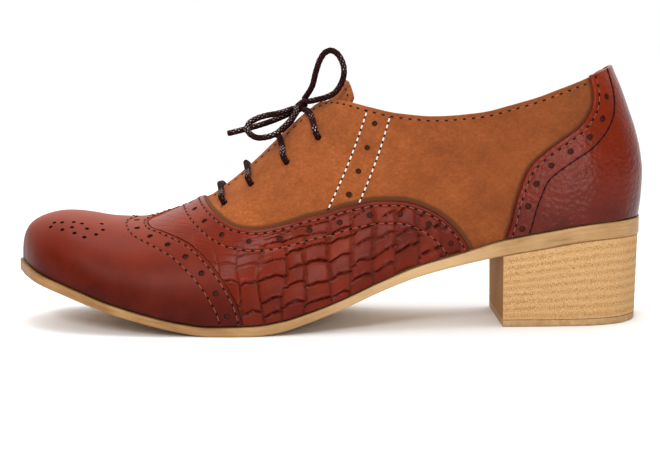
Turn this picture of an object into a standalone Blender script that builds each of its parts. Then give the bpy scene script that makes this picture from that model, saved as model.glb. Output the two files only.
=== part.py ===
# A left heeled oxford shoe: wing toe cap, embossed vamp, suede quarters, heel counter and stacked heel.
# Sizes are in millimetres until a mesh is made. +Z is up, the toe points to -X, the outer side is -Y.
import math

import bmesh
import bpy
import numpy as np
from mathutils import Vector

mm = 0.001

# Driving sizes
sole_length = 262.0
ball_width = 85.0
heel_height = 36.0          # floor to the underside of the sole at the back
toe_spring = 21.6           # floor to the underside of the sole at the toe tip
sole_edge = 3.8             # outsole thickness at the forefoot
seat_edge = 6.8             # outsole and seat band together at the heel
instep_rise = 82.0          # sole to the top of the facing
collar_rise = 57.2          # sole to the lowest stretch of the collar
back_rise = 61.7            # sole to the back top corner
back_lean = 12.0            # how far the back top corner stands in front of the seat
facing_gap = 7.0
collar_drop = 2.2           # how much lower the inner collar rim is than the outer one
drop_start = 3.0            # the drop begins this far to the outer side of the middle
drop_width = 20.0           # and is complete this far across from there
drop_height = 40.0          # at this height above the sole
wall = 2.0                  # suede and lining of the upper
wing_thickness = 1.3
vamp_thickness = 0.9
counter_thickness = 1.2
tongue_thickness = 2.0
tongue_room = 0.7           # between the tongue and the lining, besides the clearance
insole_thickness = 2.0
insole_lift = 0.15          # extra room under the insole, over the bend of the sole
swell = 1.0                 # fullness of the walls just above the sole
swell_rise = 12.0           # height over which the walls swell
toe_margin = 2.8            # sole showing in front of the upper
side_margin = 2.6           # sole showing beside the upper
heel_margin = 1.8           # sole showing behind the upper
edge_round = 0.6
clearance = 0.3             # between pieces that meet
overlay_clearance = 0.4     # between the upper and the leathers laid over it
top_piece_thickness = 2.6
heel_taper = 1.0            # how much the heel narrows to its foot on each side
heel_inset = 0.4            # step from the sole's edge to the heel's face
lace_diameter = 2.5
eyelet_diameter = 3.4
eyelet_depth = 8.0
knot_half = (2.8, 3.3, 2.0)
knot_rise = 2.9             # from the top line to the middle of the knot
bar_rise = 0.1              # the bars' room over the facing, besides the clearance
bar_arch = 0.5              # how far a bar arches up beside its eyelet
bar_sag = 0.4               # how far it dips into the gap
eyelet_exit = 0.6           # height over the facing at which a bar leaves its eyelet
stand_x = -0.5              # puts the middle of the shoe's box over the origin
stand_y = 0.5

# Shape of the plan: shares of the sole's length, and of the ball's width to each side of the middle
plan_columns = ("along", "outer", "inner")
plan_rows = (
    (0.000, -0.059, 0.059),
    (0.008, 0.041, 0.141),
    (0.019, 0.129, 0.218),
    (0.038, 0.224, 0.294),
    (0.076, 0.324, 0.376),
    (0.115, 0.382, 0.418),
    (0.172, 0.435, 0.459),
    (0.229, 0.472, 0.482),
    (0.286, 0.488, 0.494),
    (0.363, 0.506, 0.488),
    (0.439, 0.482, 0.429),
    (0.515, 0.429, 0.347),
    (0.592, 0.376, 0.294),
    (0.668, 0.341, 0.276),
    (0.744, 0.324, 0.282),
    (0.821, 0.324, 0.300),
    (0.897, 0.315, 0.304),
    (0.954, 0.262, 0.256),
    (0.985, 0.168, 0.165),
    (1.000, 0.000, 0.000),
)

# Underside of the sole: shares of the toe spring and of the heel height, and how far the edge
# has grown from the forefoot's thickness to the seat's
profile_columns = ("along", "spring", "lift", "seat")
profile_rows = (
    (0.000, 1.000, 0.000, 0.20),
    (0.019, 0.965, 0.000, 0.15),
    (0.047, 0.860, 0.000, 0.05),
    (0.084, 0.730, 0.000, 0.00),
    (0.118, 0.592, 0.000, 0.00),
    (0.150, 0.458, 0.000, -0.10),
    (0.214, 0.240, 0.000, -0.15),
    (0.276, 0.070, 0.000, -0.15),
    (0.320, 0.000, 0.000, -0.10),
    (0.385, 0.000, 0.000, 0.00),
    (0.427, 0.000, 0.036, 0.05),
    (0.457, 0.000, 0.097, 0.00),
    (0.518, 0.000, 0.250, -0.05),
    (0.580, 0.000, 0.439, 0.00),
    (0.642, 0.000, 0.600, 0.12),
    (0.704, 0.000, 0.711, 0.25),
    (0.775, 0.000, 0.820, 0.75),
    (0.826, 0.000, 0.883, 0.85),
    (0.923, 0.000, 0.983, 0.90),
    (0.985, 0.000, 1.000, 1.00),
    (1.000, 0.000, 1.000, 1.30),
)

# Sections of the upper: height of the top line as a share of the instep rise (past the facing it
# climbs the ankle), roundness of the section, extra fullness of each wall, side shift of the top line
section_columns = ("along", "rise", "round", "outer", "inner", "shift")
section_rows = (
    (0.000, 0.000, 2.1, 0.5, 0.5, 0.059),
    (0.002, 0.096, 2.1, 0.6, 0.6, 0.058),
    (0.009, 0.158, 2.1, 0.8, 0.8, 0.058),
    (0.022, 0.209, 2.1, 1.0, 1.0, 0.057),
    (0.040, 0.253, 2.2, 1.2, 1.2, 0.056),
    (0.063, 0.288, 2.3, 1.3, 1.3, 0.055),
    (0.089, 0.311, 2.3, 1.3, 1.3, 0.054),
    (0.122, 0.332, 2.2, 1.3, 1.3, 0.053),
    (0.171, 0.369, 2.1, 1.3, 1.3, 0.052),
    (0.208, 0.405, 2.1, 1.3, 1.3, 0.050),
    (0.247, 0.474, 2.0, 1.4, 1.5, 0.047),
    (0.297, 0.574, 1.9, 1.5, 2.0, 0.040),
    (0.350, 0.694, 1.85, 1.6, 2.5, 0.032),
    (0.417, 0.869, 1.80, 1.8, 3.5, 0.024),
    (0.461, 0.962, 1.80, 2.0, 4.0, 0.018),
    (0.489, 1.002, 1.80, 2.0, 4.5, 0.014),
    (0.520, 1.085, 1.85, 2.0, 5.0, 0.010),
    (0.563, 1.245, 1.95, 2.0, 5.5, 0.006),
    (0.610, 1.510, 2.05, 1.8, 5.5, 0.003),
    (0.692, 1.990, 2.20, 1.6, 4.0, 0.000),
    (0.800, 2.240, 2.30, 1.5, 2.5, 0.000),
    (1.000, 2.340, 2.30, 1.5, 1.5, 0.000),
)

# The collar's height above the sole as a share of its lowest stretch
collar_columns = ("along", "height")
collar_rows = (
    (0.400, 1.750),
    (0.490, 1.422),
    (0.509, 1.411),
    (0.528, 1.372),
    (0.545, 1.320),
    (0.565, 1.255),
    (0.613, 1.118),
    (0.661, 1.024),
    (0.710, 0.974),
    (0.760, 0.938),
    (0.810, 0.951),
    (0.861, 0.991),
    (0.915, 1.043),
    (0.955, 1.089),
    (1.000, 1.120),
)

# The back seam: how far it stands behind the seat, as a share of the back's lean
back_columns = ("up", "lean")
back_rows = (
    (0.00, 0.00),
    (0.14, 0.08),
    (0.28, 0.11),
    (0.42, 0.03),
    (0.56, -0.14),
    (0.70, -0.385),
    (0.85, -0.67),
    (1.00, -1.00),
    (1.40, -1.60),
)

# Where the inner side of the shoe stands lower than the outer one: shares of the collar's drop
drop_columns = ("along", "drop")
drop_rows = (
    (0.00, 0.0),
    (0.29, 0.0),
    (0.36, 1.0),
    (0.62, 1.0),
    (0.75, 1.4),
    (0.88, 2.0),
    (0.95, 1.7),
    (0.985, 0.9),
    (1.00, 0.0),
)

# Edges of the overlays: for a climb from the sole (0) to the top line (1), the share of the length
wing_columns = ("climb", "along")
wing_rows = (
    (0.000, 0.368),
    (0.096, 0.360),
    (0.180, 0.347),
    (0.277, 0.329),
    (0.376, 0.308),
    (0.480, 0.283),
    (0.633, 0.240),
    (0.754, 0.214),
    (0.850, 0.208),
    (0.930, 0.218),
    (0.975, 0.242),
    (1.000, 0.262),
)
vamp_columns = ("climb", "along")
vamp_rows = (
    (0.000, 0.722),
    (0.027, 0.700),
    (0.073, 0.662),
    (0.101, 0.641),
    (0.136, 0.617),
    (0.165, 0.597),
    (0.209, 0.571),
    (0.250, 0.545),
    (0.290, 0.518),
    (0.330, 0.480),
    (0.355, 0.442),
    (0.390, 0.403),
    (0.428, 0.376),
    (0.485, 0.351),
    (0.585, 0.329),
    (0.720, 0.311),
    (0.850, 0.301),
    (1.000, 0.295),
)
counter_columns = ("climb", "along")
counter_rows = (
    (0.000, 0.778),
    (0.014, 0.783),
    (0.033, 0.788),
    (0.054, 0.799),
    (0.071, 0.814),
    (0.083, 0.838),
    (0.094, 0.870),
    (0.103, 0.898),
    (0.116, 0.921),
    (0.131, 0.937),
    (0.152, 0.947),
    (0.190, 0.954),
)

# The tongue: how far down each side it reaches, and its top edge
tongue_side_columns = ("along", "climb")
tongue_side_rows = (
    (0.250, 0.70),
    (0.300, 0.62),
    (0.400, 0.56),
    (0.480, 0.56),
    (0.515, 0.60),
    (0.536, 0.66),
)
tongue_top_columns = ("climb", "along")
tongue_top_rows = (
    (0.66, 0.537),
    (0.75, 0.531),
    (0.84, 0.526),
    (0.93, 0.522),
    (1.00, 0.519),
)

# Eyelets in pairs, and where each bar of the lace crosses the top line
eyelet_columns = ("along", "climb", "crossing")
eyelet_rows = (
    (0.335, 0.683, 0.325),
    (0.378, 0.680, 0.369),
    (0.435, 0.632, 0.419),
    (0.486, 0.632, 0.464),
)

# Routes of the bow, chosen by hand: x, y and z from the middle of the knot
loop_up_route = (
    (1.4, -0.6, 2.9),
    (2.8, -3.4, 4.9),
    (4.9, -7.7, 8.4),
    (6.7, -9.7, 14.9),
    (8.5, -10.7, 19.6),
    (10.6, -11.7, 22.2),
    (12.6, -12.2, 22.9),
    (14.9, -13.2, 21.9),
    (16.9, -14.2, 19.2),
    (17.9, -15.2, 16.1),
    (17.9, -15.7, 12.8),
    (16.8, -15.7, 9.5),
    (14.5, -15.2, 6.1),
    (11.0, -12.7, 4.0),
    (6.9, -8.9, 2.8),
    (3.6, -5.8, 2.1),
    (0.8, -3.3, 1.9),
)
loop_side_route = (
    (-3.1, -1.0, -1.0),
    (-5.8, -4.4, -1.8),
    (-9.7, -8.7, -2.8),
    (-14.6, -10.7, -3.6),
    (-18.6, -12.7, -4.9),
    (-21.3, -14.7, -6.8),
    (-21.8, -16.2, -8.8),
    (-20.5, -17.7, -10.7),
    (-17.8, -18.7, -12.1),
    (-14.4, -17.7, -12.1),
    (-10.4, -15.7, -10.9),
    (-7.2, -12.7, -8.5),
    (-3.9, -9.5, -5.1),
    (-1.8, -5.9, -2.0),
    (-1.9, -3.4, -0.4),
)
end_outer_route = (
    (-2.7, 1.9, -2.2),
    (-5.8, 0.6, -3.6),
    (-11.6, -2.6, -5.9),
    (-18.4, -5.0, -8.0),
    (-24.3, -7.0, -9.5),
    (-30.4, -8.7, -10.9),
)
# The end on the inner side lies over the facing: height is over the form, in millimetres
end_inner_columns = ("along", "climb", "height")
end_inner_rows = (
    (0.462, 0.905, 4.0),
    (0.452, 0.850, 4.4),
    (0.440, 0.780, 4.9),
    (0.426, 0.690, 4.9),
    (0.412, 0.600, 3.4),
    (0.402, 0.530, 2.2),
)

# Places along the shoe, and how finely each piece is divided
throat_along = 0.300        # front end of the facing's gap
corner_along = 0.489        # top corner of the facing
breast_along = 0.772        # front face of the heel
flat_along = (0.32, 0.385)  # ends of the forefoot's flat spot
collar_bend = (0.508, 0.528, 0.548)
lean_start = 0.45           # the back's lean begins here and is complete at twice this
tip_turn = 0.004            # nearest to the toe tip that the form's slopes are measured
tip_step = 0.001
bar_side = 0.985            # share of an eyelet's place at which a bar arches highest
bar_points = 14
lead_points = 7
loop_points = 14
end_points = (7, 8)         # outer and inner free end
upper_stations = 42
upper_columns = 12
sole_stations = 38
heel_stations = 14
insole_stations = 34
wing_rows_count = 13
vamp_rows_count = 9
counter_rows_count = 10
counter_columns_count = 9
tongue_rows_count = 12
tongue_columns_count = 11
# Columns of the wing cap and the vamp panel, closer together where the wing's edge turns
wing_steps = (0.0, 0.02, 0.045, 0.08, 0.12, 0.17, 0.23, 0.30, 0.40, 0.50, 0.60, 0.70, 0.80, 0.90, 1.0)
foot_lift = 0.2             # the upper's lower edge stands this far above its clearance
overlay_foot = 0.55         # overlays stop this far above the upper's lower edge
sheet_lift = 1.25           # how far sheets are lifted, as a multiple of what their flat faces cut off
edge_gap = 0.7              # along the shoe, between the wing cap and the vamp panel
collar_margin = 0.8         # the counter stops this far below the collar


def table(columns, rows):
    return {name: np.array(values) for name, values in zip(columns, zip(*rows))}


plan = table(plan_columns, plan_rows)
profile = table(profile_columns, profile_rows)
sections = table(section_columns, section_rows)
collar = table(collar_columns, collar_rows)
back = table(back_columns, back_rows)
drops = table(drop_columns, drop_rows)
wing = table(wing_columns, wing_rows)
vamp = table(vamp_columns, vamp_rows)
counter = table(counter_columns, counter_rows)
tongue_side = table(tongue_side_columns, tongue_side_rows)
tongue_top = table(tongue_top_columns, tongue_top_rows)
eyelets = table(eyelet_columns, eyelet_rows)


def smooth(known_x, known_y, x):
    """A curve through the rows of a table that never overshoots between two of them."""
    step = np.diff(known_x)
    slope = np.diff(known_y) / step
    bend = np.zeros(len(known_x))
    same = slope[:-1] * slope[1:] > 0
    before = 2 * step[1:] + step[:-1]
    after = step[1:] + 2 * step[:-1]
    bend[1:-1][same] = ((before + after) / (before / np.where(same, slope[:-1], 1)
                        + after / np.where(same, slope[1:], 1)))[same]
    bend[0] = slope[0]
    bend[-1] = slope[-1]
    x = np.clip(x, known_x[0], known_x[-1])
    at = np.clip(np.searchsorted(known_x, x, side="right") - 1, 0, len(step) - 1)
    part = (x - known_x[at]) / step[at]
    return (known_y[at] * (1 + 2 * part) * (1 - part) ** 2
            + known_y[at + 1] * part ** 2 * (3 - 2 * part)
            + step[at] * part * (1 - part) * (bend[at] * (1 - part) - bend[at + 1] * part))


def turn_of(along):
    """Shares of the length as turns that crowd at the round toe and heel."""
    return np.arccos(1 - 2 * np.clip(along, 0, 1)) / math.pi


def along_of(turn):
    return (1 - np.cos(math.pi * np.asarray(turn, float))) / 2


def round_read(rows, column, turn):
    return smooth(turn_of(rows["along"]), rows[column], turn)


def flat_read(rows, column, along):
    return smooth(rows["along"], rows[column], along)


def ease(x):
    x = np.clip(x, 0, 1)
    return x * x * (3 - 2 * x)


def sole_x(along):
    return (along - 0.5) * sole_length + stand_x


def share_at(x):
    return (x - stand_x) / sole_length + 0.5


def sole_bottom(x):
    along = share_at(x)
    spring = toe_spring * flat_read(profile, "spring", along)
    return spring + heel_height * flat_read(profile, "lift", along)


def sole_top(x):
    along = share_at(x)
    return sole_bottom(x) + sole_edge + (seat_edge - sole_edge) * flat_read(profile, "seat", along)


def sole_half(turn, side):
    """Half width of the sole on one side: -1 is the outer side, 1 the inner one."""
    return ball_width * round_read(plan, "outer" if side < 0 else "inner", turn) + side * stand_y


def upper_x(turn):
    front = sole_x(0) + toe_margin
    behind = sole_x(1) - heel_margin
    return front + along_of(turn) * (behind - front)


def margin_fade(turn):
    """The margin fades at the tip and the seat, where the length already holds it."""
    return 1 - (1 - np.sin(math.pi * np.asarray(turn, float))) ** 4


def seam_shift(height):
    return back_lean * smooth(back["up"], back["lean"], height / back_rise)


def section_point(turn, across):
    """A point of the upper's outer form: across is -1 at the outer feather edge, 0 on the top line
    and 1 at the inner feather edge."""
    turn = np.asarray(turn, float)
    across = np.asarray(across, float)
    side = np.where(across < 0, -1.0, 1.0)
    outer = across < 0
    angle = (1 - np.abs(across)) * math.pi / 2
    power = 2 / round_read(sections, "round", turn)
    rise = instep_rise * round_read(sections, "rise", turn)
    height = rise * np.sin(angle) ** power
    shift = ball_width * round_read(sections, "shift", turn) + stand_y
    half = np.where(outer, sole_half(turn, -1), sole_half(turn, 1))
    half = half - side_margin * margin_fade(turn)
    half = half + np.where(outer, shift, -shift)
    full = swell * np.where(outer, round_read(sections, "outer", turn), round_read(sections, "inner", turn))
    full = full * margin_fade(turn) * (1 - np.exp(-height / swell_rise))
    y = shift + side * (half + full) * np.clip(np.cos(angle), 0, 1) ** power
    x = upper_x(turn)
    low = sole_top(x) + clearance + foot_lift
    lean = ease((along_of(turn) - lean_start) / lean_start)
    x = x + lean * seam_shift(height)
    z = low + height - inner_fall(turn, y, height)
    return np.stack([x, y, z], axis=-1)


def inner_fall(turn, y, height):
    """How much lower the inner side stands, from nothing at the sole and on the outer side."""
    fall = collar_drop * flat_read(drops, "drop", along_of(turn))
    return fall * ease((y + drop_start) / drop_width) * ease(height / drop_height)


def section_normal(turn, across):
    """Outward normals, from small steps over the form."""
    step = 2e-4
    turn = np.clip(np.asarray(turn, float), 0, 1)
    across = np.clip(np.asarray(across, float), -1 + step, 1 - step)
    before = np.clip(turn - step, tip_turn, 1)
    beyond = np.clip(turn + step, tip_turn + tip_step, 1)
    around = section_point(beyond, across) - section_point(before, across)
    middle = np.clip(turn, tip_turn + 2 * tip_step, 1)
    ahead = section_point(middle, across + step) - section_point(middle, across - step)
    normal = np.cross(around, ahead)
    size = np.linalg.norm(normal, axis=-1, keepdims=True)
    return normal / np.maximum(size, 1e-12)


def form_point(turn, across, out=0.0):
    """A point of the form, moved outward by a thickness."""
    return section_point(turn, across) + out * section_normal(turn, across)


def collar_z(x):
    return sole_top(x) + clearance + collar_rise * flat_read(collar, "height", share_at(x))


def top_across(turn, side):
    """Where a section ends: the top line in front of the throat, then the facing's edge, then the collar."""
    if along_of(turn) <= throat_along:
        return 0.0
    opened = (along_of(turn) - throat_along) * sole_length
    rounding = facing_gap / 2
    half_gap = rounding * math.sqrt(1 - (1 - min(opened / rounding, 1)) ** 2)
    shift = ball_width * float(round_read(sections, "shift", turn)) + stand_y
    low, high = 1.0, 0.0
    for _ in range(40):
        middle = (low + high) / 2
        point = section_point(turn, side * middle)
        in_gap = along_of(turn) <= corner_along and abs(point[1] - shift) < half_gap
        above = point[2] - sole_top(point[0])
        over = in_gap or point[2] + inner_fall(turn, point[1], above) > collar_z(point[0])
        if over:
            high = middle
        else:
            low = middle
    return (low + high) / 2


def mesh_object(name, points, faces, material, closed=True):
    """An object from points in millimetres; points that fall together are joined."""
    mesh = bpy.data.meshes.new(name)
    mesh.from_pydata([tuple(point * mm) for point in np.asarray(points)], [], faces)
    work = bmesh.new()
    work.from_mesh(mesh)
    bmesh.ops.remove_doubles(work, verts=work.verts, dist=1e-6)
    bmesh.ops.dissolve_degenerate(work, edges=work.edges, dist=1e-6)
    if closed:
        bmesh.ops.recalc_face_normals(work, faces=work.faces)
    work.to_mesh(mesh)
    work.free()
    mesh.shade_smooth()
    mesh.set_sharp_from_angle(angle=math.radians(40))
    mesh.materials.append(material)
    obj = bpy.data.objects.new(name, mesh)
    parts.objects.link(obj)
    return obj


def grid_faces(rows, columns, first=0, flip=False):
    faces = []
    for i in range(rows - 1):
        for j in range(columns - 1):
            a = first + i * columns + j
            face = (a, a + columns, a + columns + 1, a + 1)
            faces.append(face[::-1] if flip else face)
    return faces


def stations(start, end, count, extra=()):
    turns = np.linspace(turn_of(start), turn_of(end), count)
    if extra:
        wanted = turn_of(np.array(extra))
        near = np.abs(turns[:, None] - wanted[None, :]).min(axis=1) < 0.3 / count
        near[0] = near[-1] = False
        turns = np.union1d(turns[~near], wanted)
    return turns


def add_solidify(obj, thickness, outward):
    solidify = obj.modifiers.new("wall", "SOLIDIFY")
    solidify.thickness = thickness * mm
    solidify.offset = 1.0 if outward else -1.0
    solidify.use_even_offset = False
    solidify.use_rim = True


def build_upper(material, turns, rows):
    points = []
    faces = []
    for half in (slice(0, upper_columns), slice(upper_columns, 2 * upper_columns)):
        first = len(points)
        for turn, row in zip(turns, rows[:, half]):
            points.extend(section_point(np.full(upper_columns, turn), row))
        faces.extend(grid_faces(len(turns), upper_columns, first))
    obj = mesh_object("upper", points, faces, material, closed=False)
    add_solidify(obj, wall, outward=False)
    for side in (-1, 1):
        for number, (along, climb) in enumerate(zip(eyelets["along"], eyelets["climb"]), start=1):
            cutter = eyelet_cutter("eyelet_" + str(number) + ("_outer" if side < 0 else "_inner"),
                                   float(turn_of(along)), side * (1 - climb))
            punch = obj.modifiers.new(cutter.name, "BOOLEAN")
            punch.operation = "DIFFERENCE"
            punch.solver = "EXACT"
            punch.object = cutter
    return obj


def eyelet_cutter(name, turn, across):
    """A punch through the wall, square to it."""
    mesh = bpy.data.meshes.new(name)
    work = bmesh.new()
    bmesh.ops.create_cone(work, cap_ends=True, segments=10, radius1=eyelet_diameter / 2 * mm,
                          radius2=eyelet_diameter / 2 * mm, depth=eyelet_depth * mm)
    work.to_mesh(mesh)
    work.free()
    obj = bpy.data.objects.new(name, mesh)
    normal = Vector(tuple(section_normal(turn, across)))
    obj.rotation_mode = "QUATERNION"
    obj.rotation_quaternion = normal.to_track_quat("Z", "Y")
    obj.location = Vector(tuple(section_point(turn, across) * mm))
    obj.hide_render = True
    obj.display_type = "WIRE"
    cutters.objects.link(obj)
    return obj


def slab(name, material, turns, low, high, widths):
    """A solid of box-like sections with softened edges. widths(turn, level) gives the x, outer y and
    inner y of a section at its foot (level 0) and its top (level 1)."""
    points = []
    for turn in turns:
        ring = []
        for level, z_of in ((0, low), (1, high)):
            x, outer, inner = widths(turn, level)
            round_by = min(edge_round, 0.25 * (inner - outer))
            z = z_of(x)
            inward = round_by if level == 0 else -round_by
            tier = [(x, outer + round_by, z), (x, outer, z + inward)]
            tier += [(x, inner, z + inward), (x, inner - round_by, z)]
            ring.append(tier)
        foot, head = ring
        points.extend([foot[0], foot[1], head[1], head[0], head[3], head[2], foot[2], foot[3]])
    count = 8
    faces = []
    for i in range(len(turns) - 1):
        for j in range(count):
            k = (j + 1) % count
            a = i * count
            faces.append((a + j, a + k, a + count + k, a + count + j))
    for first in (0, (len(turns) - 1) * count):
        faces.append((first, first + 1, first + 6, first + 7))
        faces.append((first + 1, first + 2, first + 5, first + 6))
        faces.append((first + 2, first + 3, first + 4, first + 5))
    return mesh_object(name, np.array(points), faces, material)


def sole_widths(turn, _level):
    return sole_x(along_of(turn)), -float(sole_half(turn, -1)), float(sole_half(turn, 1))


def build_outsole(material):
    turns = stations(0, 1, sole_stations, (*flat_along, breast_along))
    return slab("outsole", material, turns, sole_bottom, sole_top, sole_widths)


def heel_widths(turn, level):
    """The heel keeps the plan of the seat, a little inside it, and narrows to its foot."""
    inset = heel_inset + heel_taper * (1 - level)
    x = sole_x(along_of(turn))
    behind = max(0.0, (along_of(turn) - breast_along) / (1 - breast_along))
    fade = float(margin_fade(turn))
    outer = -float(sole_half(turn, -1)) + inset * fade
    inner = float(sole_half(turn, 1)) - inset * fade
    return x - inset * behind, outer, inner


def build_heel(materials):
    turns = stations(breast_along, 1, heel_stations)
    slab("heel_top_piece", materials["top_piece"], turns, lambda x: 0.0, lambda x: top_piece_thickness,
         lambda turn, level: heel_widths(turn, level * top_piece_thickness / heel_height))
    start = top_piece_thickness + clearance
    slab("heel_block", materials["stack"], turns, lambda x: start, lambda x: sole_bottom(x) - clearance,
         lambda turn, level: heel_widths(turn, (start / heel_height) if level == 0 else 1))


def insole_widths(turn, level):
    inset = wall + 2 * clearance
    left = section_point(turn, -1.0)
    right = section_point(turn, 1.0)
    fade = float(margin_fade(turn))
    room = upper_x(turn)
    middle = (upper_x(0.0) + upper_x(1.0)) / 2
    half = (upper_x(1.0) - upper_x(0.0)) / 2
    x = middle + (room - middle) * (half - inset) / half
    return x, left[1] + inset * fade, right[1] - inset * fade


def build_insole(material):
    turns = stations(0, 1, insole_stations)
    bed = clearance + insole_lift
    return slab("insole", material, turns, lambda x: sole_top(x) + bed,
                lambda x: sole_top(x) + bed + insole_thickness, insole_widths)


def upper_grid():
    """The turns and the across values of the upper's own mesh, which the overlays share."""
    rounding = facing_gap / 2 / sole_length
    throat = (throat_along, throat_along + 0.3 * rounding, throat_along + rounding)
    turns = stations(0, 1, upper_stations, (*throat, corner_along, *collar_bend))
    rows = []
    for turn in turns:
        outer = np.linspace(-1, -top_across(turn, -1), upper_columns)
        inner = np.linspace(top_across(turn, 1), 1, upper_columns)
        rows.append(np.concatenate([outer, inner]))
    return turns, np.array(rows)


def foot_across(turn, side, height):
    """Where a section reaches a small height above its lower edge."""
    power = 2 / float(round_read(sections, "round", turn))
    rise = max(instep_rise * float(round_read(sections, "rise", turn)), height)
    angle = math.asin((height / rise) ** (1 / power))
    return side * (1 - angle / (math.pi / 2))


def edge_turn(rows, climb, shift=0.0):
    return float(turn_of(smooth(rows["climb"], rows["along"], climb) + shift))


def with_middles(values):
    values = np.asarray(values, float)
    finer = np.empty(2 * len(values) - 1)
    finer[::2] = values
    finer[1::2] = (values[:-1] + values[1:]) / 2
    return finer


def sheet(place, downs, acrosses, offset):
    """A grid of points laid on the form: place(a, b) gives the turn and the across value of each.
    Every point is lifted by what the flat faces beside it cut off the curved form."""
    spots = np.array([[place(a, b) for b in with_middles(acrosses)] for a in with_middles(downs)])
    normal = section_normal(spots[..., 0], spots[..., 1])
    curved = section_point(spots[..., 0], spots[..., 1]) + offset * normal
    flat = curved.copy()
    flat[1::2, ::2] = (flat[:-1:2, ::2] + flat[2::2, ::2]) / 2
    flat[:, 1::2] = (flat[:, :-1:2] + flat[:, 2::2]) / 2
    cut_off = np.maximum(((curved - flat) * normal).sum(axis=-1), 0)
    around = np.pad(cut_off, 1)
    lift = np.zeros(cut_off[::2, ::2].shape)
    for i in range(3):
        for j in range(3):
            lift = np.maximum(lift, around[i:i + cut_off.shape[0]:2, j:j + cut_off.shape[1]:2])
    points = curved[::2, ::2] + sheet_lift * lift[..., None] * normal[::2, ::2]
    return points.reshape(-1, 3), grid_faces(len(downs), len(acrosses))


def laid(name, sheets, thickness, outward, material):
    """An overlay or a tongue: sheets on the form, joined where they meet and thickened."""
    points = []
    faces = []
    for sheet_points, sheet_faces in sheets:
        first = len(points)
        points.extend(sheet_points)
        faces.extend(tuple(i + first for i in face) for face in sheet_faces)
    obj = mesh_object(name, points, faces, material, closed=False)
    add_solidify(obj, thickness, outward)
    return obj


def settled(start, step):
    """A turn that agrees with the across value that it leads to."""
    turn = start
    for _ in range(10):
        turn = step(turn)
    return turn


def signed_steps(steps):
    steps = np.asarray(steps)
    return np.concatenate([-steps[::-1], steps[1:]])


def build_wing(material):
    def place(down, across):
        side = -1 if across < 0 else 1

        def reach(turn):
            climb = 1 - abs(across * foot_across(turn, side, overlay_foot))
            return down * edge_turn(wing, climb)

        turn = settled(down * 0.4, reach)
        return turn, across * abs(foot_across(turn, side, overlay_foot))

    downs = np.linspace(0, 1, wing_rows_count)
    sheets = [sheet(place, downs, signed_steps(wing_steps), overlay_clearance)]
    return laid("wing_cap", sheets, wing_thickness, True, material)


def build_vamp(material):
    gap = edge_gap / sole_length

    def place(down, across):
        side = -1 if across < 0 else 1

        def reach(turn):
            climb = 1 - abs(across * foot_across(turn, side, overlay_foot))
            front = edge_turn(wing, climb, gap)
            return front + (edge_turn(vamp, climb) - front) * down

        turn = settled(0.5, reach)
        return turn, across * abs(foot_across(turn, side, overlay_foot))

    downs = np.linspace(0, 1, vamp_rows_count)
    sheets = [sheet(place, downs, signed_steps(wing_steps), overlay_clearance)]
    return laid("vamp_panel", sheets, vamp_thickness, True, material)


def build_counter(material, turns, rows):
    """One sheet from the outer front edge round the back seam to the inner front edge."""
    tops = {-1: np.abs(rows[:, upper_columns - 1]), 1: np.abs(rows[:, upper_columns])}
    margin = collar_margin / collar_rise

    def place(round_back, up):
        side = -1 if round_back <= 0 else 1

        def across_at(turn):
            foot = abs(foot_across(turn, side, overlay_foot))
            top = float(np.interp(turn, turns, tops[side]))
            top += margin * (1 - top)
            return foot + (top - foot) * up

        def reach(turn):
            front = edge_turn(counter, 1 - across_at(turn))
            return 1 - (1 - front) * abs(round_back)

        turn = settled(0.9, reach)
        return turn, side * across_at(turn)

    steps = signed_steps(np.linspace(0, 1, counter_rows_count))
    sheets = [sheet(place, steps, np.linspace(0, 1, counter_columns_count), overlay_clearance)]
    return laid("heel_counter", sheets, counter_thickness, True, material)


def build_tongue(material):
    depth = wall + clearance + tongue_room
    front = float(turn_of(tongue_side["along"][0]))

    def place(down, across):
        def half(turn):
            climb = float(smooth(tongue_side["along"], tongue_side["climb"], along_of(turn)))
            return across * (1 - climb)

        def reach(turn):
            return front + (edge_turn(tongue_top, 1 - abs(half(turn))) - front) * down

        turn = settled(0.45, reach)
        return turn, half(turn)

    sheets = [sheet(place, np.linspace(0, 1, tongue_rows_count), np.linspace(-1, 1, tongue_columns_count), -depth)]
    return laid("tongue", sheets, tongue_thickness, False, material)


def tube(name, route, diameter, material, count):
    """A cord along a smooth curve through its route's points."""
    route = np.asarray(route, float)
    gone = np.concatenate([[0], np.cumsum(np.linalg.norm(np.diff(route, axis=0), axis=1))])
    steps = np.linspace(0, gone[-1], count)
    points = np.stack([spline_read(gone, route[:, k], steps) for k in range(3)], axis=1)
    curve = bpy.data.curves.new(name, "CURVE")
    curve.dimensions = "3D"
    curve.bevel_depth = diameter / 2 * mm
    curve.bevel_resolution = 2
    curve.use_fill_caps = True
    spline = curve.splines.new("POLY")
    spline.points.add(count - 1)
    for target, point in zip(spline.points, points):
        target.co = (*(point * mm), 1.0)
    curve.materials.append(material)
    obj = bpy.data.objects.new(name, curve)
    parts.objects.link(obj)
    return obj


def spline_read(known_x, known_y, x):
    """A natural curve through a route's points, one coordinate at a time."""
    bend = np.gradient(known_y, known_x)
    step = np.diff(known_x)
    at = np.clip(np.searchsorted(known_x, x, side="right") - 1, 0, len(step) - 1)
    part = (x - known_x[at]) / step[at]
    return (known_y[at] * (1 + 2 * part) * (1 - part) ** 2
            + known_y[at + 1] * part ** 2 * (3 - 2 * part)
            + step[at] * part * (1 - part) * (bend[at] * (1 - part) - bend[at + 1] * part))


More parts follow.
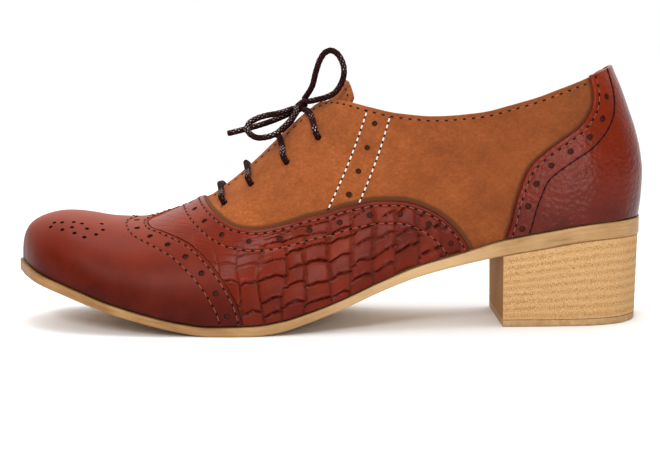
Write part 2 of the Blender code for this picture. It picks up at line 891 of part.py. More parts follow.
def bar_half(along, climb, crossing, side):
    """Half a bar of the lace: out of an eyelet and over the facing to the gap."""
    over = lace_diameter / 2 + clearance + bar_rise
    start = (1 - climb) * side
    turn = float(turn_of(along))
    points = [form_point(turn, start, -wall / 2)]
    points.append(form_point(turn, start, eyelet_exit))
    points.append(form_point(turn, start * bar_side, over + bar_arch))
    for share in (0.25, 0.5, 0.75):
        near = float(turn_of(along + (crossing - along) * share))
        points.append(form_point(near, start * (1 - share), over + bar_rise))
    return points


def bar_middle(crossing):
    return form_point(float(turn_of(crossing)), 0.0, lace_diameter / 2 + clearance - bar_sag)


def build_bars(material):
    """Bars across the facings; the top pair ends in two leads beside the knot."""
    rows = list(zip(*(eyelets[name] for name in eyelet_columns)))
    for number, row in enumerate(rows[:-1], start=1):
        route = bar_half(*row, -1) + [bar_middle(row[2])] + bar_half(*row, 1)[::-1]
        tube("lace_bar_" + str(number), route, lace_diameter, material, bar_points)
    middle = bar_middle(rows[-1][2])
    for side, name in ((-1, "lace_lead_outer"), (1, "lace_lead_inner")):
        beside = middle + np.array([0.0, side * (knot_half[1] + clearance), 0.0])
        tube(name, bar_half(*rows[-1], side)[:-1] + [beside], lace_diameter, material, lead_points)


def knot_place():
    """The middle of the knot, over the crossing of the top pair of eyelets."""
    return form_point(float(turn_of(eyelets["crossing"][-1])), 0.0, knot_rise)


def build_bow(material):
    """The knot with its two loops, and the two free ends."""
    middle = knot_place()
    build_knot(middle, material)
    tube("lace_loop_up", middle + np.array(loop_up_route), lace_diameter, material, loop_points)
    tube("lace_loop_side", middle + np.array(loop_side_route), lace_diameter, material, loop_points)
    tube("lace_end_outer", middle + np.array(end_outer_route), lace_diameter, material, end_points[0])
    route = [form_point(float(turn_of(along)), 1 - climb, height) for along, climb, height in end_inner_rows]
    tube("lace_end_inner", route, lace_diameter, material, end_points[1])


def principled(name, colour, roughness):
    material = bpy.data.materials.new(name)
    material.use_nodes = True
    shader = material.node_tree.nodes["Principled BSDF"]
    shader.inputs["Base Color"].default_value = (*colour, 1.0)
    shader.inputs["Roughness"].default_value = roughness
    shader.inputs["Metallic"].default_value = 0.0
    return material


def build_knot(middle, material):
    """The knot of the bow: a round lump, flattened toward the tongue."""
    mesh = bpy.data.meshes.new("lace_knot")
    work = bmesh.new()
    bmesh.ops.create_uvsphere(work, u_segments=12, v_segments=8, radius=1.0)
    bmesh.ops.scale(work, vec=Vector(knot_half) * mm, verts=work.verts)
    work.to_mesh(mesh)
    work.free()
    mesh.shade_smooth()
    mesh.materials.append(material)
    obj = bpy.data.objects.new("lace_knot", mesh)
    obj.location = Vector(tuple(middle * mm))
    normal = Vector(tuple(section_normal(float(turn_of(eyelets["crossing"][-1])), 0.0)))
    obj.rotation_euler = (0.0, math.atan2(normal.x, normal.z), 0.0)
    parts.objects.link(obj)
    return obj


def main():
    global parts, cutters
    for obj in list(bpy.data.objects):
        bpy.data.objects.remove(obj, do_unlink=True)
    parts = bpy.data.collections.new("heeled_oxford_shoe")
    cutters = bpy.data.collections.new("cutters")
    for collection in (parts, cutters):
        bpy.context.scene.collection.children.link(collection)
    cutters.hide_render = True
    suede = principled("suede", (0.37, 0.10, 0.03), 0.85)
    leather = principled("smooth leather", (0.20, 0.02, 0.008), 0.35)
    embossed = principled("embossed leather", (0.16, 0.02, 0.01), 0.4)
    stack = principled("stacked leather", (0.66, 0.43, 0.22), 0.55)
    sole = principled("sole leather", (0.55, 0.33, 0.16), 0.5)
    rubber = principled("rubber", (0.40, 0.25, 0.12), 0.8)
    lining = principled("lining leather", (0.45, 0.25, 0.12), 0.6)
    cord = principled("waxed cotton", (0.03, 0.007, 0.007), 0.6)
    turns, rows = upper_grid()
    build_outsole(sole)
    build_heel({"top_piece": rubber, "stack": stack})
    build_insole(lining)
    build_upper(suede, turns, rows)
    build_tongue(suede)
    build_wing(leather)
    build_vamp(embossed)
    build_counter(leather, turns, rows)
    build_bars(cord)
    build_bow(cord)


if __name__ == "__main__":
    main()
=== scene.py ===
import math

import bmesh
import bpy
import numpy as np
from mathutils import Matrix, Vector


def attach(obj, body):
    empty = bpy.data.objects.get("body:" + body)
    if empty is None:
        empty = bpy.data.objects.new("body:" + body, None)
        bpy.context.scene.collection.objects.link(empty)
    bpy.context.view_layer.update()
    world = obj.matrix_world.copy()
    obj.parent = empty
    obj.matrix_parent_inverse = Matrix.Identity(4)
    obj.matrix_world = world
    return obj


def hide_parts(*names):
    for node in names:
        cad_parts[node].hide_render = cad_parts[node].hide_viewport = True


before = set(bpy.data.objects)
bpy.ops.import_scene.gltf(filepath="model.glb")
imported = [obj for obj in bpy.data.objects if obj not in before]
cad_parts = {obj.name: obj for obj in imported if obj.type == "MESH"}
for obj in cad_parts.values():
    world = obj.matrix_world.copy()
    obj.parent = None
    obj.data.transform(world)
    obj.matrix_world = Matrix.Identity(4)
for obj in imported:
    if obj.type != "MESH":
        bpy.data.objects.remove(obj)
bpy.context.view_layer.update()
mm = 0.001
print("frame loaded")

# the last, as in the frame, in millimetres: toe to -X, outer side to -Y
shoe = {
    "soleLength": 262.0, "ballWidth": 85.0, "heelHeight": 36.0, "toeSpring": 21.6,
    "soleEdge": 3.8, "seatEdge": 6.8, "instepRise": 82.0, "collarRise": 57.2, "backRise": 61.7,
    "backLean": 12.0, "facingGap": 7.0, "collarDrop": 2.2, "wall": 2.0, "clearance": 0.3,
    "footLift": 0.2, "toeMargin": 2.8, "sideMargin": 2.6, "heelMargin": 1.8, "swell": 1.0,
    "swellRise": 12.0, "standX": -0.5, "standY": 0.5, "throatAlong": 0.300, "cornerAlong": 0.489,
    "breastAlong": 0.772, "overlayFoot": 0.55, "dropStart": -3.0, "dropWidth": 20.0,
    "dropHeight": 40.0, "leanStart": 0.45, "leanRun": 0.45,
}

tableColumns = {
    "plan": ("along", "outer", "inner"),
    "profile": ("along", "spring", "lift", "seat"),
    "sections": ("along", "rise", "round", "outer", "inner", "shift"),
    "collar": ("along", "height"),
    "back": ("up", "lean"),
    "drops": ("along", "drop"),
    "wing": ("climb", "along"),
    "vamp": ("climb", "along"),
    "counter": ("climb", "along"),
    "tongueSide": ("along", "climb"),
    "tongueTop": ("climb", "along"),
    "eyelets": ("along", "climb", "crossing"),
}
tableRows = {
    "plan": (
        (0.000, -0.059, 0.059), (0.008, 0.041, 0.141), (0.019, 0.129, 0.218),
        (0.038, 0.224, 0.294), (0.076, 0.324, 0.376), (0.115, 0.382, 0.418),
        (0.172, 0.435, 0.459), (0.229, 0.472, 0.482), (0.286, 0.488, 0.494),
        (0.363, 0.506, 0.488), (0.439, 0.482, 0.429), (0.515, 0.429, 0.347),
        (0.592, 0.376, 0.294), (0.668, 0.341, 0.276), (0.744, 0.324, 0.282),
        (0.821, 0.324, 0.300), (0.897, 0.315, 0.304), (0.954, 0.262, 0.256),
        (0.985, 0.168, 0.165), (1.000, 0.000, 0.000),
    ),
    "profile": (
        (0.000, 1.000, 0.000, 0.20), (0.019, 0.965, 0.000, 0.15), (0.047, 0.860, 0.000, 0.05),
        (0.084, 0.730, 0.000, 0.00), (0.118, 0.592, 0.000, 0.00), (0.150, 0.458, 0.000, -0.10),
        (0.214, 0.240, 0.000, -0.15), (0.276, 0.070, 0.000, -0.15), (0.320, 0.000, 0.000, -0.10),
        (0.385, 0.000, 0.000, 0.00), (0.427, 0.000, 0.036, 0.05), (0.457, 0.000, 0.097, 0.00),
        (0.518, 0.000, 0.250, -0.05), (0.580, 0.000, 0.439, 0.00), (0.642, 0.000, 0.600, 0.12),
        (0.704, 0.000, 0.711, 0.25), (0.775, 0.000, 0.820, 0.75), (0.826, 0.000, 0.883, 0.85),
        (0.923, 0.000, 0.983, 0.90), (0.985, 0.000, 1.000, 1.00), (1.000, 0.000, 1.000, 1.30),
    ),
    "sections": (
        (0.000, 0.000, 2.1, 0.5, 0.5, 0.059), (0.002, 0.096, 2.1, 0.6, 0.6, 0.058),
        (0.009, 0.158, 2.1, 0.8, 0.8, 0.058), (0.022, 0.209, 2.1, 1.0, 1.0, 0.057),
        (0.040, 0.253, 2.2, 1.2, 1.2, 0.056), (0.063, 0.288, 2.3, 1.3, 1.3, 0.055),
        (0.089, 0.311, 2.3, 1.3, 1.3, 0.054), (0.122, 0.332, 2.2, 1.3, 1.3, 0.053),
        (0.171, 0.369, 2.1, 1.3, 1.3, 0.052), (0.208, 0.405, 2.1, 1.3, 1.3, 0.050),
        (0.247, 0.474, 2.0, 1.4, 1.5, 0.047), (0.297, 0.574, 1.9, 1.5, 2.0, 0.040),
        (0.350, 0.694, 1.85, 1.6, 2.5, 0.032), (0.417, 0.869, 1.80, 1.8, 3.5, 0.024),
        (0.461, 0.962, 1.80, 2.0, 4.0, 0.018), (0.489, 1.002, 1.80, 2.0, 4.5, 0.014),
        (0.520, 1.085, 1.85, 2.0, 5.0, 0.010), (0.563, 1.245, 1.95, 2.0, 5.5, 0.006),
        (0.610, 1.510, 2.05, 1.8, 5.5, 0.003), (0.692, 1.990, 2.20, 1.6, 4.0, 0.000),
        (0.800, 2.240, 2.30, 1.5, 2.5, 0.000), (1.000, 2.340, 2.30, 1.5, 1.5, 0.000),
    ),
    "collar": (
        (0.400, 1.750), (0.490, 1.422), (0.509, 1.411), (0.528, 1.372), (0.545, 1.320),
        (0.565, 1.255), (0.613, 1.118), (0.661, 1.024), (0.710, 0.974), (0.760, 0.938),
        (0.810, 0.951), (0.861, 0.991), (0.915, 1.043), (0.955, 1.089), (1.000, 1.120),
    ),
    "back": (
        (0.00, 0.00), (0.14, 0.08), (0.28, 0.11), (0.42, 0.03), (0.56, -0.14),
        (0.70, -0.385), (0.85, -0.67), (1.00, -1.00), (1.40, -1.60),
    ),
    "drops": (
        (0.00, 0.0), (0.29, 0.0), (0.36, 1.0), (0.62, 1.0), (0.75, 1.4), (0.88, 2.0),
        (0.95, 1.7), (0.985, 0.9), (1.00, 0.0),
    ),
    "wing": (
        (0.000, 0.368), (0.096, 0.360), (0.180, 0.347), (0.277, 0.329), (0.376, 0.308),
        (0.480, 0.283), (0.633, 0.240), (0.754, 0.214), (0.850, 0.208), (0.930, 0.218),
        (0.975, 0.242), (1.000, 0.262),
    ),
    "vamp": (
        (0.000, 0.722), (0.027, 0.700), (0.073, 0.662), (0.101, 0.641), (0.136, 0.617),
        (0.165, 0.597), (0.209, 0.571), (0.250, 0.545), (0.290, 0.518), (0.330, 0.480),
        (0.355, 0.442), (0.390, 0.403), (0.428, 0.376), (0.485, 0.351), (0.585, 0.329),
        (0.720, 0.311), (0.850, 0.301), (1.000, 0.295),
    ),
    "counter": (
        (0.000, 0.778), (0.014, 0.783), (0.033, 0.788), (0.054, 0.799), (0.071, 0.814),
        (0.083, 0.838), (0.094, 0.870), (0.103, 0.898), (0.116, 0.921), (0.131, 0.937),
        (0.152, 0.947), (0.190, 0.954),
    ),
    "tongueSide": (
        (0.250, 0.70), (0.300, 0.62), (0.400, 0.56), (0.480, 0.56), (0.515, 0.60), (0.536, 0.66),
    ),
    "tongueTop": (
        (0.66, 0.537), (0.75, 0.531), (0.84, 0.526), (0.93, 0.522), (1.00, 0.519),
    ),
    "eyelets": (
        (0.335, 0.683, 0.325), (0.378, 0.680, 0.369), (0.435, 0.632, 0.419),
        (0.486, 0.632, 0.464),
    ),
}
last = {
    name: {column: np.array(values) for column, values in zip(columns, zip(*tableRows[name]))}
    for name, columns in tableColumns.items()
}


def cubic(values, bend, step, at, part):
    # the values and slopes of two rows joined by a cubic
    return (values[at] * (1 + 2 * part) * (1 - part) ** 2
            + values[at + 1] * part ** 2 * (3 - 2 * part)
            + step * part * (1 - part) * (bend[at] * (1 - part) - bend[at + 1] * part))


def smoothRead(knownX, knownY, x):
    # cubic through the rows of a table, with slopes that never overshoot
    step = np.diff(knownX)
    slope = np.diff(knownY) / step
    bend = np.zeros(len(knownX))
    same = slope[:-1] * slope[1:] > 0
    before = 2 * step[1:] + step[:-1]
    after = step[1:] + 2 * step[:-1]
    early, late = (np.where(same, slopes, 1) for slopes in (slope[:-1], slope[1:]))
    mean = (before + after) / (before / early + after / late)
    bend[1:-1][same] = mean[same]
    bend[0] = slope[0]
    bend[-1] = slope[-1]
    x = np.clip(x, knownX[0], knownX[-1])
    at = np.clip(np.searchsorted(knownX, x, side="right") - 1, 0, len(step) - 1)
    part = (x - knownX[at]) / step[at]
    return cubic(knownY, bend, step[at], at, part)


def turnOf(along):
    # shares of the length as turns that crowd at the round toe and heel
    return np.arccos(1 - 2 * np.clip(along, 0, 1)) / math.pi


def alongOf(turn):
    return (1 - np.cos(math.pi * np.asarray(turn, float))) / 2


def roundRead(name, column, turn):
    return smoothRead(turnOf(last[name]["along"]), last[name][column], turn)


def flatRead(name, column, along):
    return smoothRead(last[name]["along"], last[name][column], along)


def edgeTurn(name, climb):
    return turnOf(smoothRead(last[name]["climb"], last[name]["along"], climb))


def ease(x):
    x = np.clip(x, 0, 1)
    return x * x * (3 - 2 * x)


def soleX(along):
    return (along - 0.5) * shoe["soleLength"] + shoe["standX"]


def shareAt(x):
    return (x - shoe["standX"]) / shoe["soleLength"] + 0.5


def soleBottom(x):
    along = shareAt(x)
    spring = shoe["toeSpring"] * flatRead("profile", "spring", along)
    return spring + shoe["heelHeight"] * flatRead("profile", "lift", along)


def soleTop(x):
    seat = flatRead("profile", "seat", shareAt(x))
    return soleBottom(x) + shoe["soleEdge"] + (shoe["seatEdge"] - shoe["soleEdge"]) * seat


def soleHalf(turn, side):
    # half width of the sole: side -1 is outer, 1 inner
    outer = shoe["ballWidth"] * roundRead("plan", "outer", turn) - shoe["standY"]
    inner = shoe["ballWidth"] * roundRead("plan", "inner", turn) + shoe["standY"]
    return np.where(np.asarray(side) < 0, outer, inner)


def upperX(turn):
    front = soleX(0) + shoe["toeMargin"]
    behind = soleX(1) - shoe["heelMargin"]
    return front + alongOf(turn) * (behind - front)


def marginFade(turn):
    return 1 - (1 - np.sin(math.pi * np.asarray(turn, float))) ** 4


def shiftAt(turn):
    # how far the middle of a section lies to the inner side
    return shoe["ballWidth"] * roundRead("sections", "shift", turn) + shoe["standY"]


def innerFall(turn, y, height):
    # the inner side's collar lies a little lower
    fall = shoe["collarDrop"] * flatRead("drops", "drop", alongOf(turn))
    return (fall * ease((y - shoe["dropStart"]) / shoe["dropWidth"])
            * ease(height / shoe["dropHeight"]))


def sectionPoint(turn, across):
    # across: -1 outer feather edge, 0 top line, 1 inner feather edge; each half is a superellipse
    turn, across = np.broadcast_arrays(np.asarray(turn, float), np.asarray(across, float))
    side = np.where(across < 0, -1.0, 1.0)
    outer = across < 0
    angle = (1 - np.abs(across)) * math.pi / 2
    power = 2 / roundRead("sections", "round", turn)
    height = shoe["instepRise"] * roundRead("sections", "rise", turn) * np.sin(angle) ** power
    shift = shiftAt(turn)
    half = soleHalf(turn, side) - shoe["sideMargin"] * marginFade(turn) - side * shift
    full = np.where(outer, roundRead("sections", "outer", turn), roundRead("sections", "inner", turn))
    full = shoe["swell"] * full * marginFade(turn) * (1 - np.exp(-height / shoe["swellRise"]))
    y = shift + side * (half + full) * np.clip(np.cos(angle), 0, 1) ** power
    x = upperX(turn)
    low = soleTop(x) + shoe["clearance"] + shoe["footLift"]
    lean = ease((alongOf(turn) - shoe["leanStart"]) / shoe["leanRun"]) * shoe["backLean"]
    x = x + lean * smoothRead(last["back"]["up"], last["back"]["lean"], height / shoe["backRise"])
    return np.stack([x, y, low + height - innerFall(turn, y, height)], axis=-1)


def sectionNormal(turn, across):
    # outward: cross product of a small step along the shoe and a small step over it
    step = 2e-4
    turn, across = np.broadcast_arrays(np.asarray(turn, float), np.asarray(across, float))
    across = np.clip(across, -1 + step, 1 - step)
    around = sectionPoint(np.clip(turn + step, 0.005, 1), across)
    around = around - sectionPoint(np.clip(turn - step, 0.004, 1), across)
    middle = np.clip(turn, 0.006, 1)
    ahead = sectionPoint(middle, across + step) - sectionPoint(middle, across - step)
    normal = np.cross(around, ahead)
    return normal / np.maximum(np.linalg.norm(normal, axis=-1, keepdims=True), 1e-12)


def formPoint(turn, across, out):
    return sectionPoint(turn, across) + np.asarray(out)[..., None] * sectionNormal(turn, across)


def topAcross(turn, side):
    # where a section ends: closed before the throat, then the facing's edge, then the collar;
    # found by halving
    turn = np.asarray(turn, float)
    along = alongOf(turn)
    rounding = shoe["facingGap"] / 2
    opened = np.clip((along - shoe["throatAlong"]) * shoe["soleLength"] / rounding, 0, 1)
    halfGap = rounding * np.sqrt(1 - (1 - opened) ** 2)
    shift = shiftAt(turn)
    low = np.ones(turn.shape)
    high = np.zeros(turn.shape)
    for _ in range(34):
        middle = (low + high) / 2
        point = sectionPoint(turn, side * middle)
        inGap = (along <= shoe["cornerAlong"]) & (np.abs(point[..., 1] - shift) < halfGap)
        fall = innerFall(turn, point[..., 1], point[..., 2] - soleTop(point[..., 0]))
        height = shoe["collarRise"] * flatRead("collar", "height", shareAt(point[..., 0]))
        limit = soleTop(point[..., 0]) + shoe["clearance"] + height
        over = inGap | (point[..., 2] + fall > limit)
        high = np.where(over, middle, high)
        low = np.where(over, low, middle)
    return np.where(along <= shoe["throatAlong"], 0.0, (low + high) / 2)


def footAcross(turn, height):
    # where a section reaches a small height over its lower edge
    power = 2 / roundRead("sections", "round", turn)
    rise = np.maximum(shoe["instepRise"] * roundRead("sections", "rise", turn), height)
    return 1 - np.arcsin((height / rise) ** (1 / power)) / (math.pi / 2)


# small tools for meshes
def unit(v):
    return v / np.linalg.norm(v, axis=-1, keepdims=True)


def bell(x, width):
    # 1 in the middle and soft on both sides: exp(-(x / width)^2)
    return np.exp(-(x / width) ** 2)


def runLength(path):
    # millimetres gone at each point of a path, or of each row of a grid
    steps = np.linalg.norm(np.diff(path, axis=-2), axis=-1)
    return np.concatenate([np.zeros(steps.shape[:-1] + (1,)), np.cumsum(steps, axis=-1)], axis=-1)


def readAt(where, steps, points):
    # every column of a path, read where so many millimetres are gone
    return np.stack([np.interp(where, steps, column) for column in points.T], axis=1)


def addObject(name, data):
    thing = bpy.data.objects.new(name, data)
    bpy.context.scene.collection.objects.link(thing)
    return thing


def turnOut(mesh, join=False):
    # turns the faces outwards; join first makes one of points that fall together
    work = bmesh.new()
    work.from_mesh(mesh)
    if join:
        bmesh.ops.remove_doubles(work, verts=work.verts, dist=2e-7)
        bmesh.ops.dissolve_degenerate(work, edges=work.edges, dist=1e-7)
    bmesh.ops.recalc_face_normals(work, faces=work.faces)
    work.to_mesh(mesh)
    work.free()


def makePiece(name, points, faces, material, attributes=None, sharp=40):
    # points in millimetres; attributes give each point a number or a place of its own
    mesh = bpy.data.meshes.new(name)
    points = np.asarray(points, float).reshape(-1, 3) * mm
    mesh.from_pydata(points.tolist(), [], [tuple(face) for face in faces])
    for label, values in (attributes or {}).items():
        kind, key = ("FLOAT_VECTOR", "vector") if np.ndim(values) == 2 else ("FLOAT", "value")
        layer = mesh.attributes.new(label, kind, "POINT")
        layer.data.foreach_set(key, np.ravel(values).astype(np.float32))
    turnOut(mesh, join=True)
    mesh.shade_smooth()
    if sharp:
        mesh.set_sharp_from_angle(angle=math.radians(sharp))
    mesh.materials.append(material)
    piece = addObject(name, mesh)
    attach(piece, "root")
    return piece


def gridQuads(index, closedRing=False):
    # quads between the rows and columns of an array of point numbers
    if closedRing:
        index = np.concatenate([index, index[:, :1]], axis=1)
    corners = [index[:-1, :-1], index[1:, :-1], index[1:, 1:], index[:-1, 1:]]
    return np.stack(corners, axis=-1).reshape(-1, 4).tolist()


def tubeFaces(rows, sides, first=0):
    # quads of a tube whose points are numbered ring by ring, and a cap at each end
    index = first + np.arange(rows * sides).reshape(rows, sides)
    return gridQuads(index, closedRing=True) + [tuple(index[0]), tuple(index[-1][::-1])]


def edgeDistance(points, edges, chunk=4000):
    # shortest distance from each point to any point of the edges, block by block
    flat = points.reshape(-1, 3)
    edges = edges.reshape(-1, 3)
    found = np.empty(len(flat))
    for first in range(0, len(flat), chunk):
        block = flat[first:first + chunk]
        square = ((block[:, None, :] - edges[None, :, :]) ** 2).sum(axis=-1)
        found[first:first + chunk] = np.sqrt(square.min(axis=1))
    return found.reshape(points.shape[:-1])


def resampled(path, spacing):
    # points every spacing millimetres along a path, with its own columns read in between
    gone = runLength(path[:, :3])
    steps = np.linspace(0, gone[-1], max(2, int(round(gone[-1] / spacing)) + 1))
    return readAt(steps, gone, path), steps


def lineAt(turn, across, values, level, fromEnd=True):
    # on each row of a grid, the place where values first falls to level, looking from its end
    rows = []
    for t, a, v in zip(turn, across, values):
        if fromEnd:
            t, a, v = t[::-1], a[::-1], v[::-1]
        hit = np.nonzero((v[:-1] < level) & (v[1:] >= level))[0]
        if len(hit):
            k = hit[0]
            part = (level - v[k]) / (v[k + 1] - v[k])
            rows.append((t[k] + part * (t[k + 1] - t[k]), a[k] + part * (a[k + 1] - a[k])))
    return np.array(rows)


def thickSheet(name, turn, across, low, high, material, rims, attributes, rimMask=None, every=1):
    # a closed leather sheet: the form moved outward by low and by high, joined along its free
    # edges; the hidden underside keeps only one row and column in so many
    rows, columns = (np.union1d(np.arange(0, size, every), [size - 1]) for size in turn.shape)
    pick = np.ix_(rows, columns)
    index = np.arange(turn.size).reshape(turn.shape)
    under = turn.size + np.arange(len(rows) * len(columns)).reshape(len(rows), len(columns))
    lowHeight = np.broadcast_to(low, turn.shape)[pick]
    points = np.concatenate([formPoint(turn, across, high).reshape(-1, 3),
                             formPoint(turn[pick], across[pick], lowHeight).reshape(-1, 3)])
    faces = gridQuads(index) + gridQuads(under[:, ::-1])
    lines = {"start": (index[0], under[0], columns), "end": (index[-1], under[-1], columns),
             "foot": (index[:, 0], under[:, 0], rows), "top": (index[:, -1], under[:, -1], rows)}
    for rim in rims:
        upper, lower, kept = lines[rim]
        for k, (first, final) in enumerate(zip(kept[:-1], kept[1:])):
            if rim == "top" and rimMask is not None and not rimMask[first:final].all():
                continue
            faces.append((*upper[first:final + 1].tolist(), int(lower[k + 1]), int(lower[k])))
    both = {label: np.concatenate([np.ravel(v), np.ravel(v[pick])])
            for label, v in attributes.items()}
    return makePiece(name, points, faces, material, both)


def roundedEdge(distance, radius):
    # how much lower the leather's face lies near its edge: a quarter circle
    inside = np.clip(radius - distance, 0, radius)
    return radius - np.sqrt(radius ** 2 - inside ** 2)


def softNoise(x, y, seed, size):
    # a few crossed sine waves of about the given size in millimetres
    rng = np.random.default_rng(seed)
    total = np.zeros(np.shape(x))
    for _ in range(5):
        heading = rng.uniform(0, 2 * math.pi)
        wave = 2 * math.pi / (size * rng.uniform(0.7, 1.5))
        place = x * math.cos(heading) + y * math.sin(heading)
        total = total + np.sin(wave * place + rng.uniform(0, 6.3))
    return total / 5


# materials
def fromHex(code):
    # sRGB hex to linear
    parts = [int(code[k:k + 2], 16) / 255 for k in (1, 3, 5)]
    return tuple(p / 12.92 if p <= 0.04045 else ((p + 0.055) / 1.055) ** 2.4 for p in parts) + (1.0,)


def addNode(tree, kind, settings=None, links=None):
    # a node with its properties and socket values set, and its inputs joined
    node = tree.nodes.new("ShaderNode" + kind)
    for key, value in (settings or {}).items():
        if key == "stops":
            ramp = node.color_ramp
            while len(ramp.elements) < len(value):
                ramp.elements.new(0.5)
            for element, (place, code) in zip(ramp.elements, value):
                element.position = place
                element.color = fromHex(code)
        elif isinstance(key, str) and hasattr(node, key):
            setattr(node, key, value)
        else:
            node.inputs[key].default_value = fromHex(value) if isinstance(value, str) else value
    for key, source in (links or {}).items():
        tree.links.new(source, node.inputs[key])
    return node


def newMaterial(name, slotSettings):
    material = bpy.data.materials.new(name)
    material.use_nodes = True
    inputs = material.node_tree.nodes["Principled BSDF"].inputs
    for key, value in slotSettings.items():
        inputs[key].default_value = fromHex(value) if isinstance(value, str) else value
    return material, material.node_tree


def joinUp(tree, color, height=None, strength=0.0, depth=0.0):
    # the colour, and a bump of that depth in metres, go into the shader
    inputs = tree.nodes["Principled BSDF"].inputs
    tree.links.new(color, inputs["Base Color"])
    if height is not None:
        bump = addNode(tree, "Bump", {"Strength": strength, "Distance": depth}, {"Height": height})
        tree.links.new(bump.outputs[0], inputs["Normal"])


def objectPlace(tree):
    return addNode(tree, "TexCoord").outputs["Object"]


def attribute(tree, name, part="Fac"):
    return addNode(tree, "Attribute", {"attribute_name": name}).outputs[part]


def partOf(tree, vector, name):
    return addNode(tree, "SeparateXYZ", {}, {0: vector}).outputs[name]


def noise(tree, place, scale, detail=2.0, roughness=0.5):
    settings = {"Scale": scale, "Detail": detail, "Roughness": roughness}
    return addNode(tree, "TexNoise", settings, {"Vector": place}).outputs["Fac"]


def stretched(tree, vector, scale):
    return addNode(tree, "Mapping", {"Scale": scale}, {"Vector": vector}).outputs[0]


def mathNode(tree, operation, *terms):
    # each term is a number or an output
    node = addNode(tree, "Math", {"operation": operation})
    for socket, term in zip(node.inputs, terms):
        if isinstance(term, float):
            socket.default_value = term
        else:
            tree.links.new(term, socket)
    return node.outputs[0]


def mapRange(tree, value, span, result=(0.0, 1.0), kind="LINEAR"):
    return addNode(tree, "MapRange", {
        "interpolation_type": kind, "From Min": span[0], "From Max": span[1],
        "To Min": result[0], "To Max": result[1]}, {"Value": value}).outputs[0]


def blend(tree, factor, first, second):
    # (1 - factor) * first + factor * second
    return addNode(tree, "Mix", {"Factor": factor}, {"A": first, "B": second}).outputs[0]


def tint(tree, factor, color, other):
    # the colour mixed towards another, which is a hex code or an output
    settings, links = {"data_type": "RGBA"}, {0: factor, 6: color}
    (settings if isinstance(other, str) else links)[7] = other
    return addNode(tree, "Mix", settings, links).outputs[2]


def ramp(tree, factor, *stops):
    return addNode(tree, "ValToRGB", {"stops": stops}, {"Fac": factor}).outputs[0]


def suedeNapped():
    # split leather, buffed: short nap that blotches light and dark, no gloss, a faint velvet sheen
    material, tree = newMaterial("suedeNapped", {
        "Roughness": 0.92, "Sheen Weight": 0.15, "Sheen Roughness": 0.55, "Sheen Tint": "#e0a070",
        "Specular IOR Level": 0.25})
    place = objectPlace(tree)
    along = stretched(tree, place, (0.8, 1.0, 1.1))
    nap = noise(tree, along, 900.0, 3.0, 0.75)
    blotch = blend(tree, 0.5, noise(tree, along, 48.0, 3.0, 0.6), noise(tree, along, 210.0, 4.0, 0.7))
    tone = ramp(tree, blend(tree, 0.42, blotch, nap),
                (0.32, "#723815"), (0.46, "#87451b"), (0.55, "#974f22"), (0.70, "#af6833"))
    # painted shade: the suede darkens toward the heel, where the light falls off
    rear = mapRange(tree, partOf(tree, place, "X"), (-0.03, 0.1), (0.0, 0.52))
    tone = tint(tree, rear, tone, "#5a2a10")
    # painted shadow: the suede darkens beside the raised edges of the vamp panel and the counter
    shade = mapRange(tree, attribute(tree, "away"), (1.3, 2.5), (0.8, 0.0), "SMOOTHSTEP")
    joinUp(tree, tint(tree, shade, tone, "#4a2812"), nap, 0.5, 0.0004)
    return material


def calfPolished(name, pebble, depth, roughness, gloss):
    # aniline calf, glazed, darker toward the sole: fine pores or a pebbled grain
    material, tree = newMaterial(name, {"Roughness": roughness, "Specular IOR Level": gloss})
    place = objectPlace(tree)
    drift = mathNode(tree, "MULTIPLY_ADD", noise(tree, place, 60.0, 5.0, 0.65), 0.55, -0.27)
    level = mathNode(tree, "ADD", attribute(tree, "rise"), drift)
    tone = ramp(tree, level, (0.0, "#3f0a02"), (0.28, "#5f1908"), (0.6, "#73230d"), (1.0, "#8c3619"))
    grain = addNode(tree, "TexVoronoi", {
        "feature": "SMOOTH_F1", "Scale": 1 / (pebble * mm), "Smoothness": 0.6}, {"Vector": place})
    pores = blend(tree, 0.3, grain.outputs["Distance"], noise(tree, place, 1500.0))
    joinUp(tree, tone, pores, 0.5, depth * mm)
    return material


def calfEmbossed():
    # calf pressed with a hot plate of scales: domed glossy tiles, creases between them darkened with
    # painted shade
    material, tree = newMaterial("calfEmbossed", {"Roughness": 0.28, "Specular IOR Level": 0.1})
    place = objectPlace(tree)
    cloudy = noise(tree, place, 90.0, 4.0)
    level = mathNode(tree, "MULTIPLY_ADD", cloudy, 0.5, attribute(tree, "tile"))
    level = mathNode(tree, "MULTIPLY_ADD", attribute(tree, "rise"), 0.55, level)
    tone = ramp(tree, level, (0.15, "#4c0f04"), (0.5, "#6c1f0c"), (0.95, "#8f391d"))
    # painted shade: the creases are mixed toward near-black
    tone = tint(tree, attribute(tree, "crease"), tone, "#150402")
    joinUp(tree, tone, noise(tree, place, 1100.0, 3.0), 0.3, 0.0001)
    return material


def liningTanned():
    # vegetable-tanned lining leather: smooth, matt, slightly mottled
    material, tree = newMaterial("liningTanned", {"Roughness": 0.6, "Specular IOR Level": 0.4})
    place = objectPlace(tree)
    tone = ramp(tree, noise(tree, place, 70.0, 6.0, 0.6),
                (0.3, "#a06a3c"), (0.55, "#b88252"), (0.75, "#c99464"))
    pores = addNode(tree, "TexVoronoi", {"Scale": 1100.0}, {"Vector": place}).outputs["Distance"]
    joinUp(tree, tone, pores, 0.25, 0.0002)
    return material


